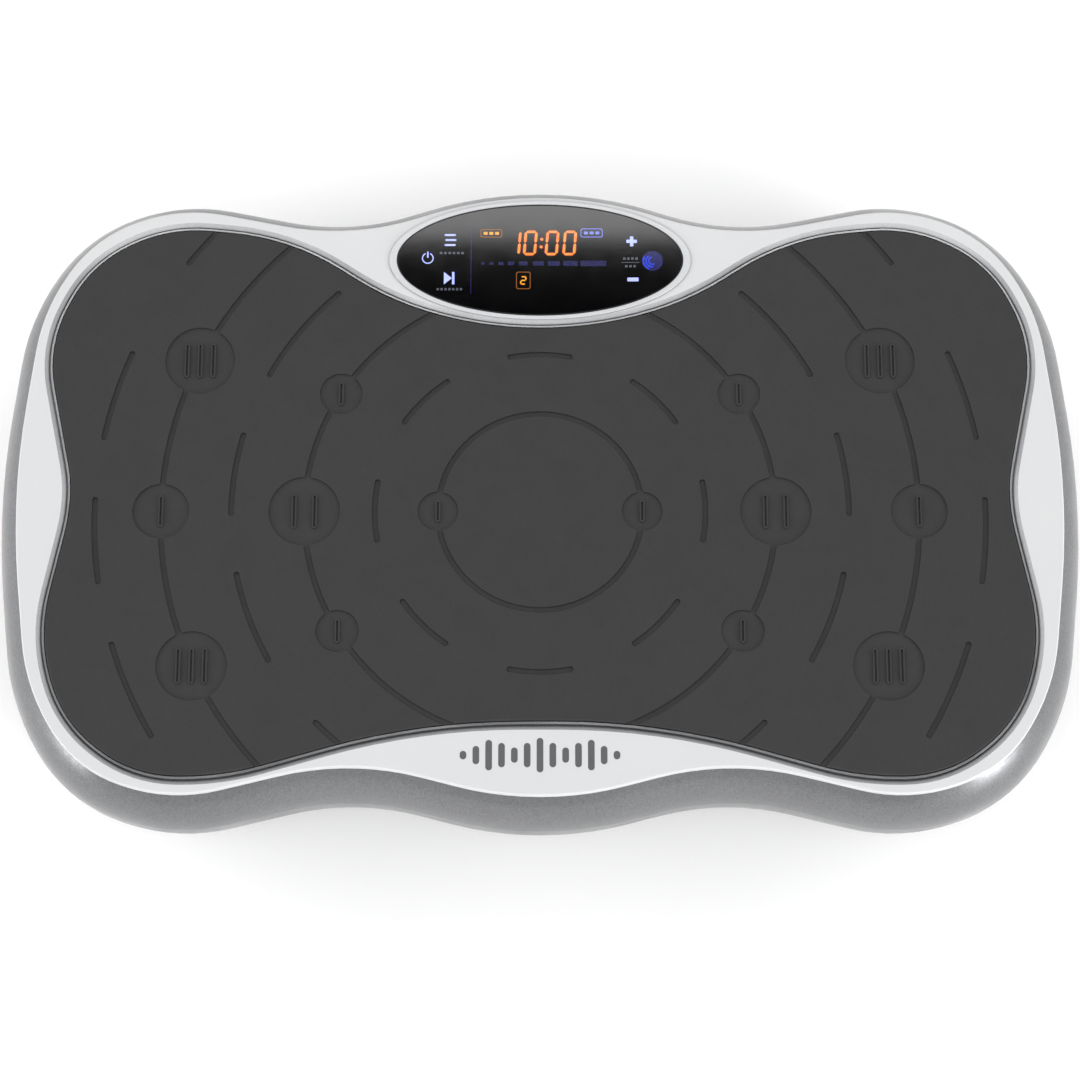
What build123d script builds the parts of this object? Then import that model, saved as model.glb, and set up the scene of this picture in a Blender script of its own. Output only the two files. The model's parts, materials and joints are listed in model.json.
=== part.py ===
"""Slim oscillating vibration plate: a rocking platform over a low base, driven by an eccentric."""

import os
from math import cos, pi, radians, sin, sqrt, tan

from build123d import *

os.makedirs("parts", exist_ok=True)

# ------------------------------------------------------------------ driving dimensions
# X is left to right, -Y is the user's side, +Z is up; the origin is on the floor.
overall_length = 540.0
overall_depth = 331.5
overall_height = 120.0
rock_angle = 1.7            # degrees either way about the pivot shaft

arc_share = 0.97            # share of a run that the arcs at its ends take up
skin_gap = 0.3              # between moulded pieces that don't touch
running_gap = 0.05          # radial, between a shaft and what turns on it

# platform skin
skirt_flare = 11.5          # from the seam out to the widest line of the skirt
skirt_drop = 28.0           # from the seam down to that line
skirt_tuck = 8.0            # from the widest line back in to the lower edge
skirt_wall = 3.0
skirt_foot = 46.0           # height of the skirt's lower edge
seam_below_top = 4.2        # from the cover's top face down to the seam
lip_depth = 8.0             # flat lip of the skirt that the cover's edge sits on
notch_height = 8.0          # notch in the skirt over the rear panel, for the plug
ledge_reach = 22.0          # how far the skirt's ledge runs in under the deck
ledge_thickness = 3.0
cover_wall = 3.0
mat_thickness = 3.6
mat_proud = 0.8             # how far the mat stands above the cover
mat_gap = 0.5
bead_width = 1.1
groove_width = 0.7
groove_depth = 1.8
bevel_width = 2.2
bevel_depth = 1.2

# embossed pattern of the mat, all centred on one point
ring_center_y = -11.75
channel_width = 3.0
channel_depth = 1.0
ring_radius = {"a": 50.4, "b": 81.6, "c": 116.3, "d": 152.4, "e": 187.1, "f": 219.7}

# display
lens_half_length = 72.0
lens_half_depth = 29.6
lens_thickness = 2.4
lens_setback = 33.8         # from the cover's back edge to the lens's centre
lens_gap = 0.25
bezel_side = 3.8
bezel_back = 2.0
bezel_height = 1.0
window_ledge = 3.5
housing_wall = 2.0
housing_depth = 17.0

# deck
deck_inset = 12.3
deck_plate_thickness = 3.0
rail_height = 16.0
rail_width = 20.0
rail_wall = 2.0
rail_y = 62.0
rail_end_inset = 62.0
cross_x = 96.0

# pivot
pivot_height = 62.0
pivot_shaft_radius = 7.5
pivot_bearing_radius = 17.5
pivot_bearing_width = 11.0
pillow_wall = 6.0
pillow_width = 15.0
bracket_thickness = 4.0
bracket_gap = 4.0

# eccentric drive
drive_x = -48.0
drive_shaft_radius = 6.0
journal_radius = 10.0
journal_width = 16.0
drive_bearing_radius = 14.0
drive_bearing_width = 8.0
drive_housing_y = 20.0
drive_housing_wall = 6.0
drive_housing_width = 10.0
link_height = 30.0
link_thickness = 12.0
link_bearing_radius = 15.0
link_wall = 5.0
link_pin_radius = 4.0
link_eye_wall = 4.0
clevis_gap = 4.0
clevis_plate = 3.0
pulley_y = 44.0
pulley_width = 12.0
driven_radius = 27.0
driver_radius = 9.0
belt_thickness = 1.6
belt_width = 8.0
belt_gap = 0.3
flange_height = 2.4
flange_width = 1.5

# motor
motor_x = -140.0
motor_clearance = 2.0       # between the motor's can and the base plate under it
motor_radius = 30.0
motor_wall = 2.0
motor_front = -62.0
motor_back = 14.0
end_bell_depth = 10.0
motor_shaft_radius = 4.0
magnet_thickness = 6.0
armature_gap = 0.6

# base
foot_height = 14.0
foot_radius = 21.0
foot_x_inset = 74.0
foot_y_inset = 62.0
tray_inset = 5.0
tray_wall = 2.5
tray_floor = 3.0
tray_top = 58.0
tray_corner = 5.0
base_plate_thickness = 3.0
base_plate_left = -190.0
base_plate_right = 44.0
base_plate_half_depth = 100.0

# electronics and the rear panel
board_x = 140.0
board_y = -10.0
board_length = 104.0
board_depth = 84.0
board_thickness = 1.6
standoff_height = 13.0
panel_x = 166.0
panel_length = 92.0
panel_height = 24.0
panel_floor = 22.0
panel_wall = 3.0
inlet_width = 27.0
inlet_height = 20.0
inlet_depth = 22.0
switch_width = 21.0
switch_height = 15.0
switch_depth = 16.0

# ------------------------------------------------------------------ levels and half sizes
cover_half_length = overall_length / 2 - skirt_flare
cover_half_depth = overall_depth / 2 - skirt_flare
mat_top = overall_height
cover_top = mat_top - mat_proud
mat_bottom = mat_top - mat_thickness
deck_top = mat_bottom - cover_wall
deck_bottom = deck_top - deck_plate_thickness
rail_bottom = deck_bottom - rail_height
seam_height = cover_top - seam_below_top
belly_height = seam_height - skirt_drop
lens_y = cover_half_depth - lens_setback
lens_top = mat_top - 0.3
lens_bottom = lens_top - lens_thickness
tray_underside = foot_height
tray_inside = tray_underside + tray_floor
plate_top = tray_inside + base_plate_thickness
motor_height = plate_top + motor_clearance + motor_radius
link_pin_height = pivot_height + link_height
eccentricity = abs(drive_x) * tan(radians(rock_angle))
link_pin_gap = 2 * eccentricity + 0.35
link_eye_bore = link_pin_radius + link_pin_gap
bracket_y = rail_y + pillow_width / 2 + bracket_gap
foot_x = overall_length / 2 - foot_x_inset
foot_y = overall_depth / 2 - foot_y_inset

# ------------------------------------------------------------------ outlines
# Corners of the outline's right half, from the back centre round to the front centre. Each
# corner is rounded by an arc that takes up nearly all of the runs beside it.
cover_corners = [
    (0, cover_half_depth),
    (28, cover_half_depth),
    (96, cover_half_depth - 22),
    (cover_half_length - 77, cover_half_depth - 5),
    (cover_half_length - 34, cover_half_depth - 21),
    (cover_half_length - 9, cover_half_depth - 60),
    (cover_half_length + 3, -1.75),
    (cover_half_length - 8, -cover_half_depth + 54.5),
    (cover_half_length - 33, -cover_half_depth + 13.5),
    (cover_half_length - 80, -cover_half_depth - 2.5),
    (92, -cover_half_depth + 18.5),
    (21, -cover_half_depth),
    (0, -cover_half_depth),
]
bezel_front = lens_y - lens_half_depth - lens_gap - bezel_back
mat_back = bezel_front - mat_gap - bead_width - groove_width - bevel_width - 0.2
mat_corners = [
    (0, mat_back),
    (25, mat_back),
    (73, mat_back + 13),
    (126, cover_half_depth - 22.5),
    (cover_half_length - 71, cover_half_depth - 16.5),
    (cover_half_length - 33, cover_half_depth - 36),
    (cover_half_length - 12, cover_half_depth - 79),
    (cover_half_length - 27, 3.75),
    (cover_half_length - 26.5, -14.25),
    (cover_half_length - 14, -cover_half_depth + 79.5),
    (cover_half_length - 27, -cover_half_depth + 36.5),
    (cover_half_length - 62, -cover_half_depth + 10),
    (cover_half_length - 104, -cover_half_depth + 9.3),
    (57.5, -cover_half_depth + 36.8),
    (0, -cover_half_depth + 36.8),
]


def corner_radii(corners):
    """Radius of the arc at each inner corner, from the shorter of the two runs it joins."""
    radii = []
    last = len(corners) - 2
    for i in range(1, last + 1):
        run_in = Vector(*corners[i]) - Vector(*corners[i - 1])
        run_out = Vector(*corners[i + 1]) - Vector(*corners[i])
        room_in = run_in.length if i == 1 else run_in.length / 2
        room_out = run_out.length if i == last else run_out.length / 2
        turn = radians(run_in.get_angle(run_out))
        radii.append(arc_share * min(room_in, room_out) / tan(turn / 2))
    return radii


def grown(corners, grow):
    """Corners and radii of the outline that runs a distance outside another all the way."""
    moved = [(corners[0][0], corners[0][1] + grow)]
    radii = corner_radii(corners)
    for i in range(1, len(corners) - 1):
        run_in = (Vector(*corners[i]) - Vector(*corners[i - 1])).normalized()
        run_out = (Vector(*corners[i + 1]) - Vector(*corners[i])).normalized()
        outward = (run_in + run_out).normalized().rotate(Axis.Z, 90)
        half_turn = radians(run_in.get_angle(run_out)) / 2
        spot = Vector(*corners[i]) + outward * (grow / cos(half_turn))
        moved.append((spot.X, spot.Y))
        radii[i - 1] += grow if run_in.cross(run_out).Z < 0 else -grow
    moved.append((corners[-1][0], corners[-1][1] - grow))
    return moved, radii


def outline(corners, height, grow=0.0):
    """Closed outline, mirrored about the YZ plane, at a height; grow offsets it outwards."""
    moved, radii = grown(corners, grow)
    with BuildSketch(Plane.XY.offset(height)) as shape:
        with BuildLine():
            FilletPolyline(*moved, radius=radii)
            mirror(about=Plane.YZ)
        make_face()
    return shape.sketch


def ellipse_at(half_length, half_depth, height):
    """Ellipse about the display's centre, on a plane at a height."""
    with BuildSketch(Plane.XY.offset(height)) as shape:
        with Locations((0, lens_y)):
            Ellipse(half_length, half_depth)
    return shape.sketch


def skirt_offset(height, inside=0.0):
    """How far the skirt's curved wall stands out from the seam at a height."""
    if height > belly_height:
        radius = (skirt_flare**2 + skirt_drop**2) / (2 * skirt_flare)
    else:
        radius = (skirt_tuck**2 + (belly_height - skirt_foot) ** 2) / (2 * skirt_tuck)
    rise = height - belly_height
    return skirt_flare - radius + sqrt((radius - inside) ** 2 - rise**2)


def beside_seam(out, height):
    """Point of a section drawn where the outline crosses the YZ plane at the back."""
    return (cover_half_depth + out, height)


def ring_of_points(corners, grow, count, keep_clear):
    """Points spaced evenly along a grown outline, without those near the display."""
    wire = outline(corners, 0, grow).faces()[0].outer_wire()
    points = []
    for k in range(count):
        spot = wire.position_at((k + 0.5) / count)
        if spot.Y < 0 or abs(spot.X) > keep_clear:
            points.append((spot.X, spot.Y))
    return points


fixing_spots = ring_of_points(cover_corners, -deck_inset - 4.8, 20, lens_half_length + 12)

# ------------------------------------------------------------------ platform: skin
# Side skirt: one wall swept round the seam, with a lip for the cover and a ledge for the deck.
skirt_mid = (belly_height + skirt_foot) / 2
skirt_high = (belly_height + seam_height) / 2
ledge_bottom = deck_bottom - ledge_thickness
high_inside = (belly_height + ledge_bottom) / 2
with BuildPart() as side_skirt:
    with BuildLine() as skirt_line:
        FilletPolyline(*cover_corners, radius=corner_radii(cover_corners))
    with BuildSketch(Plane.YZ):
        with BuildLine():
            ThreePointArc(
                beside_seam(0, seam_height),
                beside_seam(skirt_offset(skirt_high), skirt_high),
                beside_seam(skirt_flare, belly_height),
            )
            ThreePointArc(
                beside_seam(skirt_flare, belly_height),
                beside_seam(skirt_offset(skirt_mid), skirt_mid),
                beside_seam(skirt_offset(skirt_foot), skirt_foot),
            )
            Line(
                beside_seam(skirt_offset(skirt_foot), skirt_foot),
                beside_seam(skirt_offset(skirt_foot, skirt_wall), skirt_foot),
            )
            ThreePointArc(
                beside_seam(skirt_offset(skirt_foot, skirt_wall), skirt_foot),
                beside_seam(skirt_offset(skirt_mid, skirt_wall), skirt_mid),
                beside_seam(skirt_flare - skirt_wall, belly_height),
            )
            ThreePointArc(
                beside_seam(skirt_flare - skirt_wall, belly_height),
                beside_seam(skirt_offset(high_inside, skirt_wall), high_inside),
                beside_seam(skirt_offset(ledge_bottom, skirt_wall), ledge_bottom),
            )
            Polyline(
                beside_seam(skirt_offset(ledge_bottom, skirt_wall), ledge_bottom),
                beside_seam(-ledge_reach, ledge_bottom),
                beside_seam(-ledge_reach, deck_bottom),
                beside_seam(-deck_inset + skin_gap, deck_bottom),
                beside_seam(-deck_inset + skin_gap, deck_top - skin_gap),
                beside_seam(-lip_depth, deck_top - skin_gap),
                beside_seam(-lip_depth, seam_height),
                beside_seam(0, seam_height),
            )
        make_face()
    sweep(path=skirt_line.wire())
    mirror(about=Plane.YZ)
    housing_room = ellipse_at(
        lens_half_length + 3.5, lens_half_depth + 1.5, ledge_bottom - housing_depth
    )
    extrude(housing_room, amount=housing_depth + deck_top - ledge_bottom, mode=Mode.SUBTRACT)
    with Locations(Plane.XY.offset(ledge_bottom)):
        with Locations(*fixing_spots):
            Cylinder(2.2, 20, mode=Mode.SUBTRACT)
    with Locations((panel_x, 0, skirt_foot)):
        Box(
            panel_length - 4,
            overall_depth,
            2 * notch_height,
            align=(Align.CENTER, Align.MIN, Align.CENTER),
            mode=Mode.SUBTRACT,
        )
side_skirt.part.label = "side_skirt"
export_step(side_skirt.part, "parts/side_skirt.step")

# Top cover: the recessed tray for the mat, the rim round it and the display's window.
mat_to_groove = mat_gap + bead_width
mat_to_bevel = mat_to_groove + groove_width
mat_to_rim = mat_to_bevel + bevel_width
with BuildPart() as top_cover:
    extrude(outline(cover_corners, seam_height), amount=seam_below_top)
    fillet(top_cover.edges().group_by(Axis.Z)[-1], 0.8)
    extrude(outline(cover_corners, deck_top, -lip_depth - skin_gap), amount=seam_height - deck_top)
    extrude(outline(mat_corners, mat_bottom, mat_gap), amount=mat_thickness, mode=Mode.SUBTRACT)
    with BuildLine() as mat_line:
        FilletPolyline(*mat_corners, radius=corner_radii(mat_corners))
    with BuildSketch(Plane.YZ) as groove_section:
        with BuildLine():
            Polyline(
                (mat_back + mat_to_groove - 0.35, cover_top + 0.2),
                (mat_back + mat_to_groove, cover_top - 0.35),
                (mat_back + mat_to_groove, cover_top - groove_depth),
                (mat_back + mat_to_bevel, cover_top - groove_depth),
                (mat_back + mat_to_bevel, cover_top - bevel_depth),
                (mat_back + mat_to_rim, cover_top + 0.01),
                (mat_back + mat_to_rim, cover_top + 0.2),
                close=True,
            )
        make_face()
    sweep(path=mat_line.wire(), mode=Mode.SUBTRACT)
    mirror(
        sweep(groove_section.sketch, path=mat_line.wire(), mode=Mode.PRIVATE),
        about=Plane.YZ,
        mode=Mode.SUBTRACT,
    )
    lens_pocket = ellipse_at(lens_half_length + lens_gap, lens_half_depth + lens_gap, lens_bottom)
    extrude(lens_pocket, amount=lens_thickness + 1, mode=Mode.SUBTRACT)
    window = ellipse_at(lens_half_length - window_ledge, lens_half_depth - window_ledge, deck_top)
    extrude(window, amount=cover_top - deck_top, mode=Mode.SUBTRACT)
top_cover.part.label = "top_cover"
export_step(top_cover.part, "parts/top_cover.step")

# ------------------------------------------------------------------ platform: foot mat
def ring_spot(ring, angle):
    """Centre of a mark that sits on one of the mat's rings."""
    radius = ring_radius[ring]
    return (radius * cos(radians(angle)), radius * sin(radians(angle)) + ring_center_y)


def mirrored_spots(ring, angles):
    """The same marks on the right and the left half of the mat."""
    return [ring_spot(ring, side) for a in angles for side in (a, 180 - a)]


# Foot marks: where they lie, their disc, and the bars in it (how many, their step and length).
steep_c = 31.6
steep_e = 24.8
foot_marks = [
    (mirrored_spots("a", (0,)), 10.1, 1, 0.0, 11.0),
    (mirrored_spots("c", (steep_c, -steep_c)), 10.7, 1, 0.0, 11.9),
    (mirrored_spots("c", (0,)), 17.7, 2, 10.1, 17.5),
    (mirrored_spots("e", (0,)), 14.1, 1, 0.0, 15.9),
    (mirrored_spots("e", (steep_e, -steep_e)), 17.5, 3, 6.5, 17.8),
]
bar_width = 2.5
bar_slot = 1.0
# Dashes of the broken rings, as first and last angle; ring b is given all the way round, the
# others on the right half only.
dashes_b = [(45 * k - 10.5, 45 * k + 10.5) for k in range(8)]
dashes_d = [(-0.4, 14.9), (27.8, 48.4), (-29.7, -12.3), (-66.0, -44.5)]
dashes_f = [(10.0, 21.9), (-9.4, 1.5), (-31.0, -18.0), (36.4, 58.0)]
channel_floor = mat_top - channel_depth
with BuildPart() as foot_mat:
    extrude(outline(mat_corners, mat_bottom), amount=mat_thickness)
    fillet(foot_mat.edges().group_by(Axis.Z)[-1], 0.7)
    for ring in ("a", "c", "e"):
        with BuildSketch(Plane.XY.offset(channel_floor)):
            with Locations((0, ring_center_y)):
                Circle(ring_radius[ring] + channel_width / 2)
                Circle(ring_radius[ring] - channel_width / 2, mode=Mode.SUBTRACT)
        extrude(amount=channel_depth, mode=Mode.SUBTRACT)
    with BuildSketch(Plane.XY.offset(channel_floor)):
        for ring, dashes in (("b", dashes_b), ("d", dashes_d), ("f", dashes_f)):
            for first, last in dashes:
                centerline = CenterArc(
                    (0, ring_center_y), ring_radius[ring], first, last - first, mode=Mode.PRIVATE
                )
                SlotArc(centerline, channel_width)
                if ring != "b":
                    SlotArc(centerline.mirror(Plane.YZ), channel_width)
    extrude(amount=channel_depth, mode=Mode.SUBTRACT)
    with BuildSketch(Plane.XY.offset(channel_floor)):
        for spots, disc_radius, bars, step, length in foot_marks:
            with Locations(*spots):
                Circle(disc_radius)
    extrude(amount=channel_depth, mode=Mode.SUBTRACT)
    with BuildSketch(Plane.XY.offset(channel_floor)):
        for spots, disc_radius, bars, step, length in foot_marks:
            with Locations(*spots):
                with GridLocations(step, 0, bars, 1):
                    SlotOverall(length, bar_width, rotation=90)
                    SlotOverall(length - bar_width + bar_slot, bar_slot, rotation=90, mode=Mode.SUBTRACT)
    extrude(amount=channel_depth)
foot_mat.part.label = "foot_mat"
export_step(foot_mat.part, "parts/foot_mat.step")

# ------------------------------------------------------------------ platform: display
with BuildPart() as display_lens:
    extrude(ellipse_at(lens_half_length, lens_half_depth, lens_bottom), amount=lens_thickness)
    fillet(display_lens.edges().group_by(Axis.Z)[-1], 0.5)
display_lens.part.label = "display_lens"
export_step(display_lens.part, "parts/display_lens.step")

bezel_inner = (lens_half_length + lens_gap, lens_half_depth + lens_gap)
bezel_outer = (bezel_inner[0] + bezel_side, bezel_inner[1] + bezel_back)
with BuildPart() as display_bezel:
    extrude(ellipse_at(*bezel_outer, cover_top), amount=mat_top - cover_top)
    extrude(ellipse_at(*bezel_inner, cover_top), amount=mat_top - cover_top, mode=Mode.SUBTRACT)
    fillet(display_bezel.edges().group_by(Axis.Z)[-1], 0.45)
display_bezel.part.label = "display_bezel"
export_step(display_bezel.part, "parts/display_bezel.step")

# Tub under the window that holds the display's board; four ears screw it up to the cover.
housing_bottom = deck_top - housing_depth
ear_x = lens_half_length - 16
with BuildPart() as display_housing:
    tub_length = lens_half_length - 1
    tub_depth = lens_half_depth - 2
    extrude(ellipse_at(tub_length, tub_depth, housing_bottom), amount=housing_depth)
    extrude(
        ellipse_at(tub_length - housing_wall, tub_depth - housing_wall, housing_bottom + housing_wall),
        amount=housing_depth,
        mode=Mode.SUBTRACT,
    )
    with BuildSketch(Plane.XY.offset(housing_bottom + housing_wall)):
        with Locations((0, lens_y)):
            with GridLocations(2 * ear_x, 0, 2, 1):
                Circle(3.2)
                Circle(1.2, mode=Mode.SUBTRACT)
    extrude(amount=housing_depth - housing_wall - 4.2)
display_housing.part.label = "display_housing"
export_step(display_housing.part, "parts/display_housing.step")

pcb_bottom = deck_top - 4.2
pcb_thickness = 1.6
pcb_half_length = 0.85 * lens_half_length
pcb_half_depth = 0.54 * lens_half_depth
with BuildPart() as display_pcb:
    with BuildSketch(Plane.XY.offset(pcb_bottom)):
        with Locations((0, lens_y)):
            RectangleRounded(2 * pcb_half_length, 2 * pcb_half_depth, 12)
            with GridLocations(2 * ear_x, 0, 2, 1):
                Circle(1.3, mode=Mode.SUBTRACT)
    extrude(amount=pcb_thickness)
display_pcb.part.label = "display_pcb"
export_step(display_pcb.part, "parts/display_pcb.step")

pcb_top = pcb_bottom + pcb_thickness
module_height = lens_bottom - pcb_top - 0.3
with BuildPart() as digit_display:
    with BuildSketch(Plane.XY.offset(pcb_top)):
        with Locations((0, lens_y + 2)):
            RectangleRounded(46, 22, 1.5)
    extrude(amount=module_height)
digit_display.part.label = "digit_display"
export_step(digit_display.part, "parts/digit_display.step")

with BuildPart() as indicator_leds:
    with BuildSketch(Plane.XY.offset(pcb_top)):
        with Locations((0, lens_y + 2)):
            with GridLocations(64, 12, 2, 2):
                Rectangle(5, 2.8)
    extrude(amount=module_height - 2)
indicator_leds.part.label = "indicator_leds"
export_step(indicator_leds.part, "parts/indicator_leds.step")

# Touch springs: the conductive pads that stand between the board and the lens.
with BuildPart() as touch_springs:
    with BuildSketch(Plane.XY.offset(pcb_top)):
        with Locations((0, lens_y)):
            with GridLocations(92, 18, 2, 2):
                Circle(4)
                Circle(2.6, mode=Mode.SUBTRACT)
    extrude(amount=module_height)
touch_springs.part.label = "touch_springs"
export_step(touch_springs.part, "parts/touch_springs.step")

with BuildPart() as display_screws:
    with Locations((0, lens_y, pcb_top)):
        with GridLocations(2 * ear_x, 0, 2, 1):
            Cylinder(2.2, 1.4, align=(Align.CENTER, Align.CENTER, Align.MIN))
            Cylinder(1.1, 7.0, align=(Align.CENTER, Align.CENTER, Align.MAX))
display_screws.part.label = "display_screws"
export_step(display_screws.part, "parts/display_screws.step")

# ------------------------------------------------------------------ platform: deck
clevis_plate_y = link_thickness / 2 + clevis_gap + clevis_plate / 2
clevis_flange = 14.0
pillow_bolt_spots = [(x, y) for x in (-25, 25) for y in (-rail_y, rail_y)]
deck_screw_spots = [(x, y) for x in (-cross_x, cross_x) for y in (-rail_y, rail_y)]
with BuildPart() as deck_plate:
    extrude(outline(cover_corners, deck_bottom, -deck_inset), amount=deck_plate_thickness)
    display_cut = ellipse_at(lens_half_length + 3, lens_half_depth + 3, deck_bottom)
    extrude(display_cut, amount=deck_plate_thickness, mode=Mode.SUBTRACT)
    with Locations(Plane.XY.offset(deck_bottom)):
        with Locations(*fixing_spots):
            Cylinder(2.1, 3 * deck_plate_thickness, mode=Mode.SUBTRACT)
        with Locations(*deck_screw_spots):
            Cylinder(3.1, 3 * deck_plate_thickness, mode=Mode.SUBTRACT)
deck_plate.part.label = "deck_plate"
export_step(deck_plate.part, "parts/deck_plate.step")

with BuildPart() as skirt_screws:
    with Locations(Plane.XY.offset(ledge_bottom)):
        with Locations(*fixing_spots):
            Cylinder(4.0, 2.2, align=(Align.CENTER, Align.CENTER, Align.MAX))
            Cylinder(2.0, 5.6, align=(Align.CENTER, Align.CENTER, Align.MIN))
skirt_screws.part.label = "skirt_screws"
export_step(skirt_screws.part, "parts/skirt_screws.step")

# Frame under the deck: two long rails of rectangular tube, joined by two cross tubes.
rail_half_length = overall_length / 2 - rail_end_inset
with BuildPart() as deck_frame:
    for y in (-rail_y, rail_y):
        with Locations((0, y, deck_bottom - rail_height / 2)):
            Box(2 * rail_half_length, rail_width, rail_height)
    for x in (-cross_x, cross_x):
        with Locations((x, 0, deck_bottom - rail_height / 2)):
            Box(rail_width, 2 * rail_y, rail_height)
    for y in (-rail_y, rail_y):
        with Locations((0, y, deck_bottom - rail_height / 2)):
            Box(
                2 * rail_half_length,
                rail_width - 2 * rail_wall,
                rail_height - 2 * rail_wall,
                mode=Mode.SUBTRACT,
            )
    for x in (-cross_x, cross_x):
        with Locations((x, 0, deck_bottom - rail_height / 2)):
            Box(
                rail_width - 2 * rail_wall,
                2 * rail_y,
                rail_height - 2 * rail_wall,
                mode=Mode.SUBTRACT,
            )
    with Locations(*[(x, y, deck_bottom - rail_height / 2) for x, y in deck_screw_spots]):
        Cylinder(3.1, 2 * rail_height, mode=Mode.SUBTRACT)
    with Locations(*[(x, y, rail_bottom) for x, y in pillow_bolt_spots]):
        Cylinder(2.6, 4 * rail_wall, mode=Mode.SUBTRACT)
deck_frame.part.label = "deck_frame"
export_step(deck_frame.part, "parts/deck_frame.step")

# Pillow blocks hang from the rails and hold the pivot bearings.
pillow_radius = pivot_bearing_radius + pillow_wall


def pillow_block(y):
    """Housing of a pivot bearing: a ring under a foot that bolts to the rail above it."""
    with BuildPart() as block:
        with BuildSketch(Plane.XZ.offset(-y)):
            with Locations((0, pivot_height)):
                Circle(pillow_radius)
            with Locations((0, rail_bottom)):
                Rectangle(60, 7, align=(Align.CENTER, Align.MAX))
                Rectangle(
                    2 * pillow_radius - 10, rail_bottom - pivot_height, align=(Align.CENTER, Align.MAX)
                )
            with Locations((0, pivot_height)):
                Circle(pivot_bearing_radius, mode=Mode.SUBTRACT)
        extrude(amount=pillow_width / 2, both=True)
        with Locations(*[(x, y, rail_bottom) for x in (-25, 25)]):
            Cylinder(2.6, 20, mode=Mode.SUBTRACT)
    return block


def ball_bearing(x, y, height, outer_radius, bore_radius, width):
    """Ball bearing about a Y axis: two races with a shielded groove between them."""
    mid = (outer_radius + bore_radius) / 2
    with BuildPart() as bearing:
        with BuildSketch(Plane.XZ.offset(-y)):
            with Locations((x, height)):
                Circle(outer_radius)
                Circle(bore_radius + running_gap, mode=Mode.SUBTRACT)
        extrude(amount=width / 2, both=True)
        for side in (-1, 1):
            with BuildSketch(Plane.XZ.offset(-y - side * width / 2)):
                with Locations((x, height)):
                    Circle(mid + 0.25 * (outer_radius - bore_radius))
                    Circle(mid - 0.25 * (outer_radius - bore_radius), mode=Mode.SUBTRACT)
            extrude(amount=side * 0.6, mode=Mode.SUBTRACT)
    return bearing


for end, y in (("front", -rail_y), ("rear", rail_y)):
    block = pillow_block(y)
    block.part.label = f"{end}_pillow_block"
    export_step(block.part, f"parts/{end}_pillow_block.step")
    bearing = ball_bearing(
        0, y, pivot_height, pivot_bearing_radius, pivot_shaft_radius, pivot_bearing_width
    )
    bearing.part.label = f"{end}_pivot_bearing"
    export_step(bearing.part, f"parts/{end}_pivot_bearing.step")

# Bolts of the frame: those into the deck, and those that hold the pillow blocks.
with BuildPart() as frame_bolts:
    with Locations(*[(x, y, rail_bottom) for x, y in deck_screw_spots]):
        Cylinder(5.0, 4.0, align=(Align.CENTER, Align.CENTER, Align.MAX))
        Cylinder(
            3.0,
            rail_height + deck_plate_thickness - skin_gap,
            align=(Align.CENTER, Align.CENTER, Align.MIN),
        )
    with Locations(*[(x, y, rail_bottom - 7) for x, y in pillow_bolt_spots]):
        Cylinder(4.2, 3.2, align=(Align.CENTER, Align.CENTER, Align.MAX))
        Cylinder(2.5, 7 + rail_wall + 4, align=(Align.CENTER, Align.CENTER, Align.MIN))
frame_bolts.part.label = "frame_bolts"
export_step(frame_bolts.part, "parts/frame_bolts.step")

# Clevis under the deck for the link's upper pin.
clevis_half_width = link_eye_bore + link_eye_wall
with BuildPart() as link_clevis:
    with Locations((drive_x, 0, deck_bottom)):
        Box(
            2 * clevis_half_width,
            2 * (clevis_plate_y + clevis_flange),
            clevis_plate,
            align=(Align.CENTER, Align.CENTER, Align.MAX),
        )
    for side in (-1, 1):
        with BuildSketch(Plane.XZ.offset(-side * clevis_plate_y)):
            with Locations((drive_x, link_pin_height)):
                Circle(link_pin_radius + 5)
                Rectangle(
                    2 * (link_pin_radius + 5),
                    deck_bottom - link_pin_height,
                    align=(Align.CENTER, Align.MIN),
                )
                Circle(link_pin_radius, mode=Mode.SUBTRACT)
        extrude(amount=clevis_plate / 2, both=True)
link_clevis.part.label = "link_clevis"
export_step(link_clevis.part, "parts/link_clevis.step")

with BuildPart() as link_pin:
    with BuildSketch(Plane.XZ.offset(clevis_plate_y + clevis_plate / 2)):
        with Locations((drive_x, link_pin_height)):
            Circle(link_pin_radius + 2.5)
    extrude(amount=3)
    with BuildSketch(Plane.XZ.offset(clevis_plate_y + clevis_plate / 2)):
        with Locations((drive_x, link_pin_height)):
            Circle(link_pin_radius)
    extrude(amount=-2 * clevis_plate_y - clevis_plate - 3)
link_pin.part.label = "link_pin"
export_step(link_pin.part, "parts/link_pin.step")

# ------------------------------------------------------------------ eccentric and link
drive_front = -drive_housing_y - drive_bearing_width / 2 - 3
drive_back = pulley_y + pulley_width / 2 + 3


def rod(x, height, radius, start, end):
    """Round bar along Y, added to the piece being built."""
    with BuildSketch(Plane.XZ.offset(-start)) as face:
        with Locations((x, height)):
            Circle(radius)
    extrude(face.sketch, amount=start - end)


with BuildPart() as eccentric_shaft:
    rod(drive_x, pivot_height, drive_shaft_radius, drive_front, drive_back)
    rod(drive_x + eccentricity, pivot_height, journal_radius, -journal_width / 2, journal_width / 2)
eccentric_shaft.part.label = "eccentric_shaft"
export_step(eccentric_shaft.part, "parts/eccentric_shaft.step")


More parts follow.
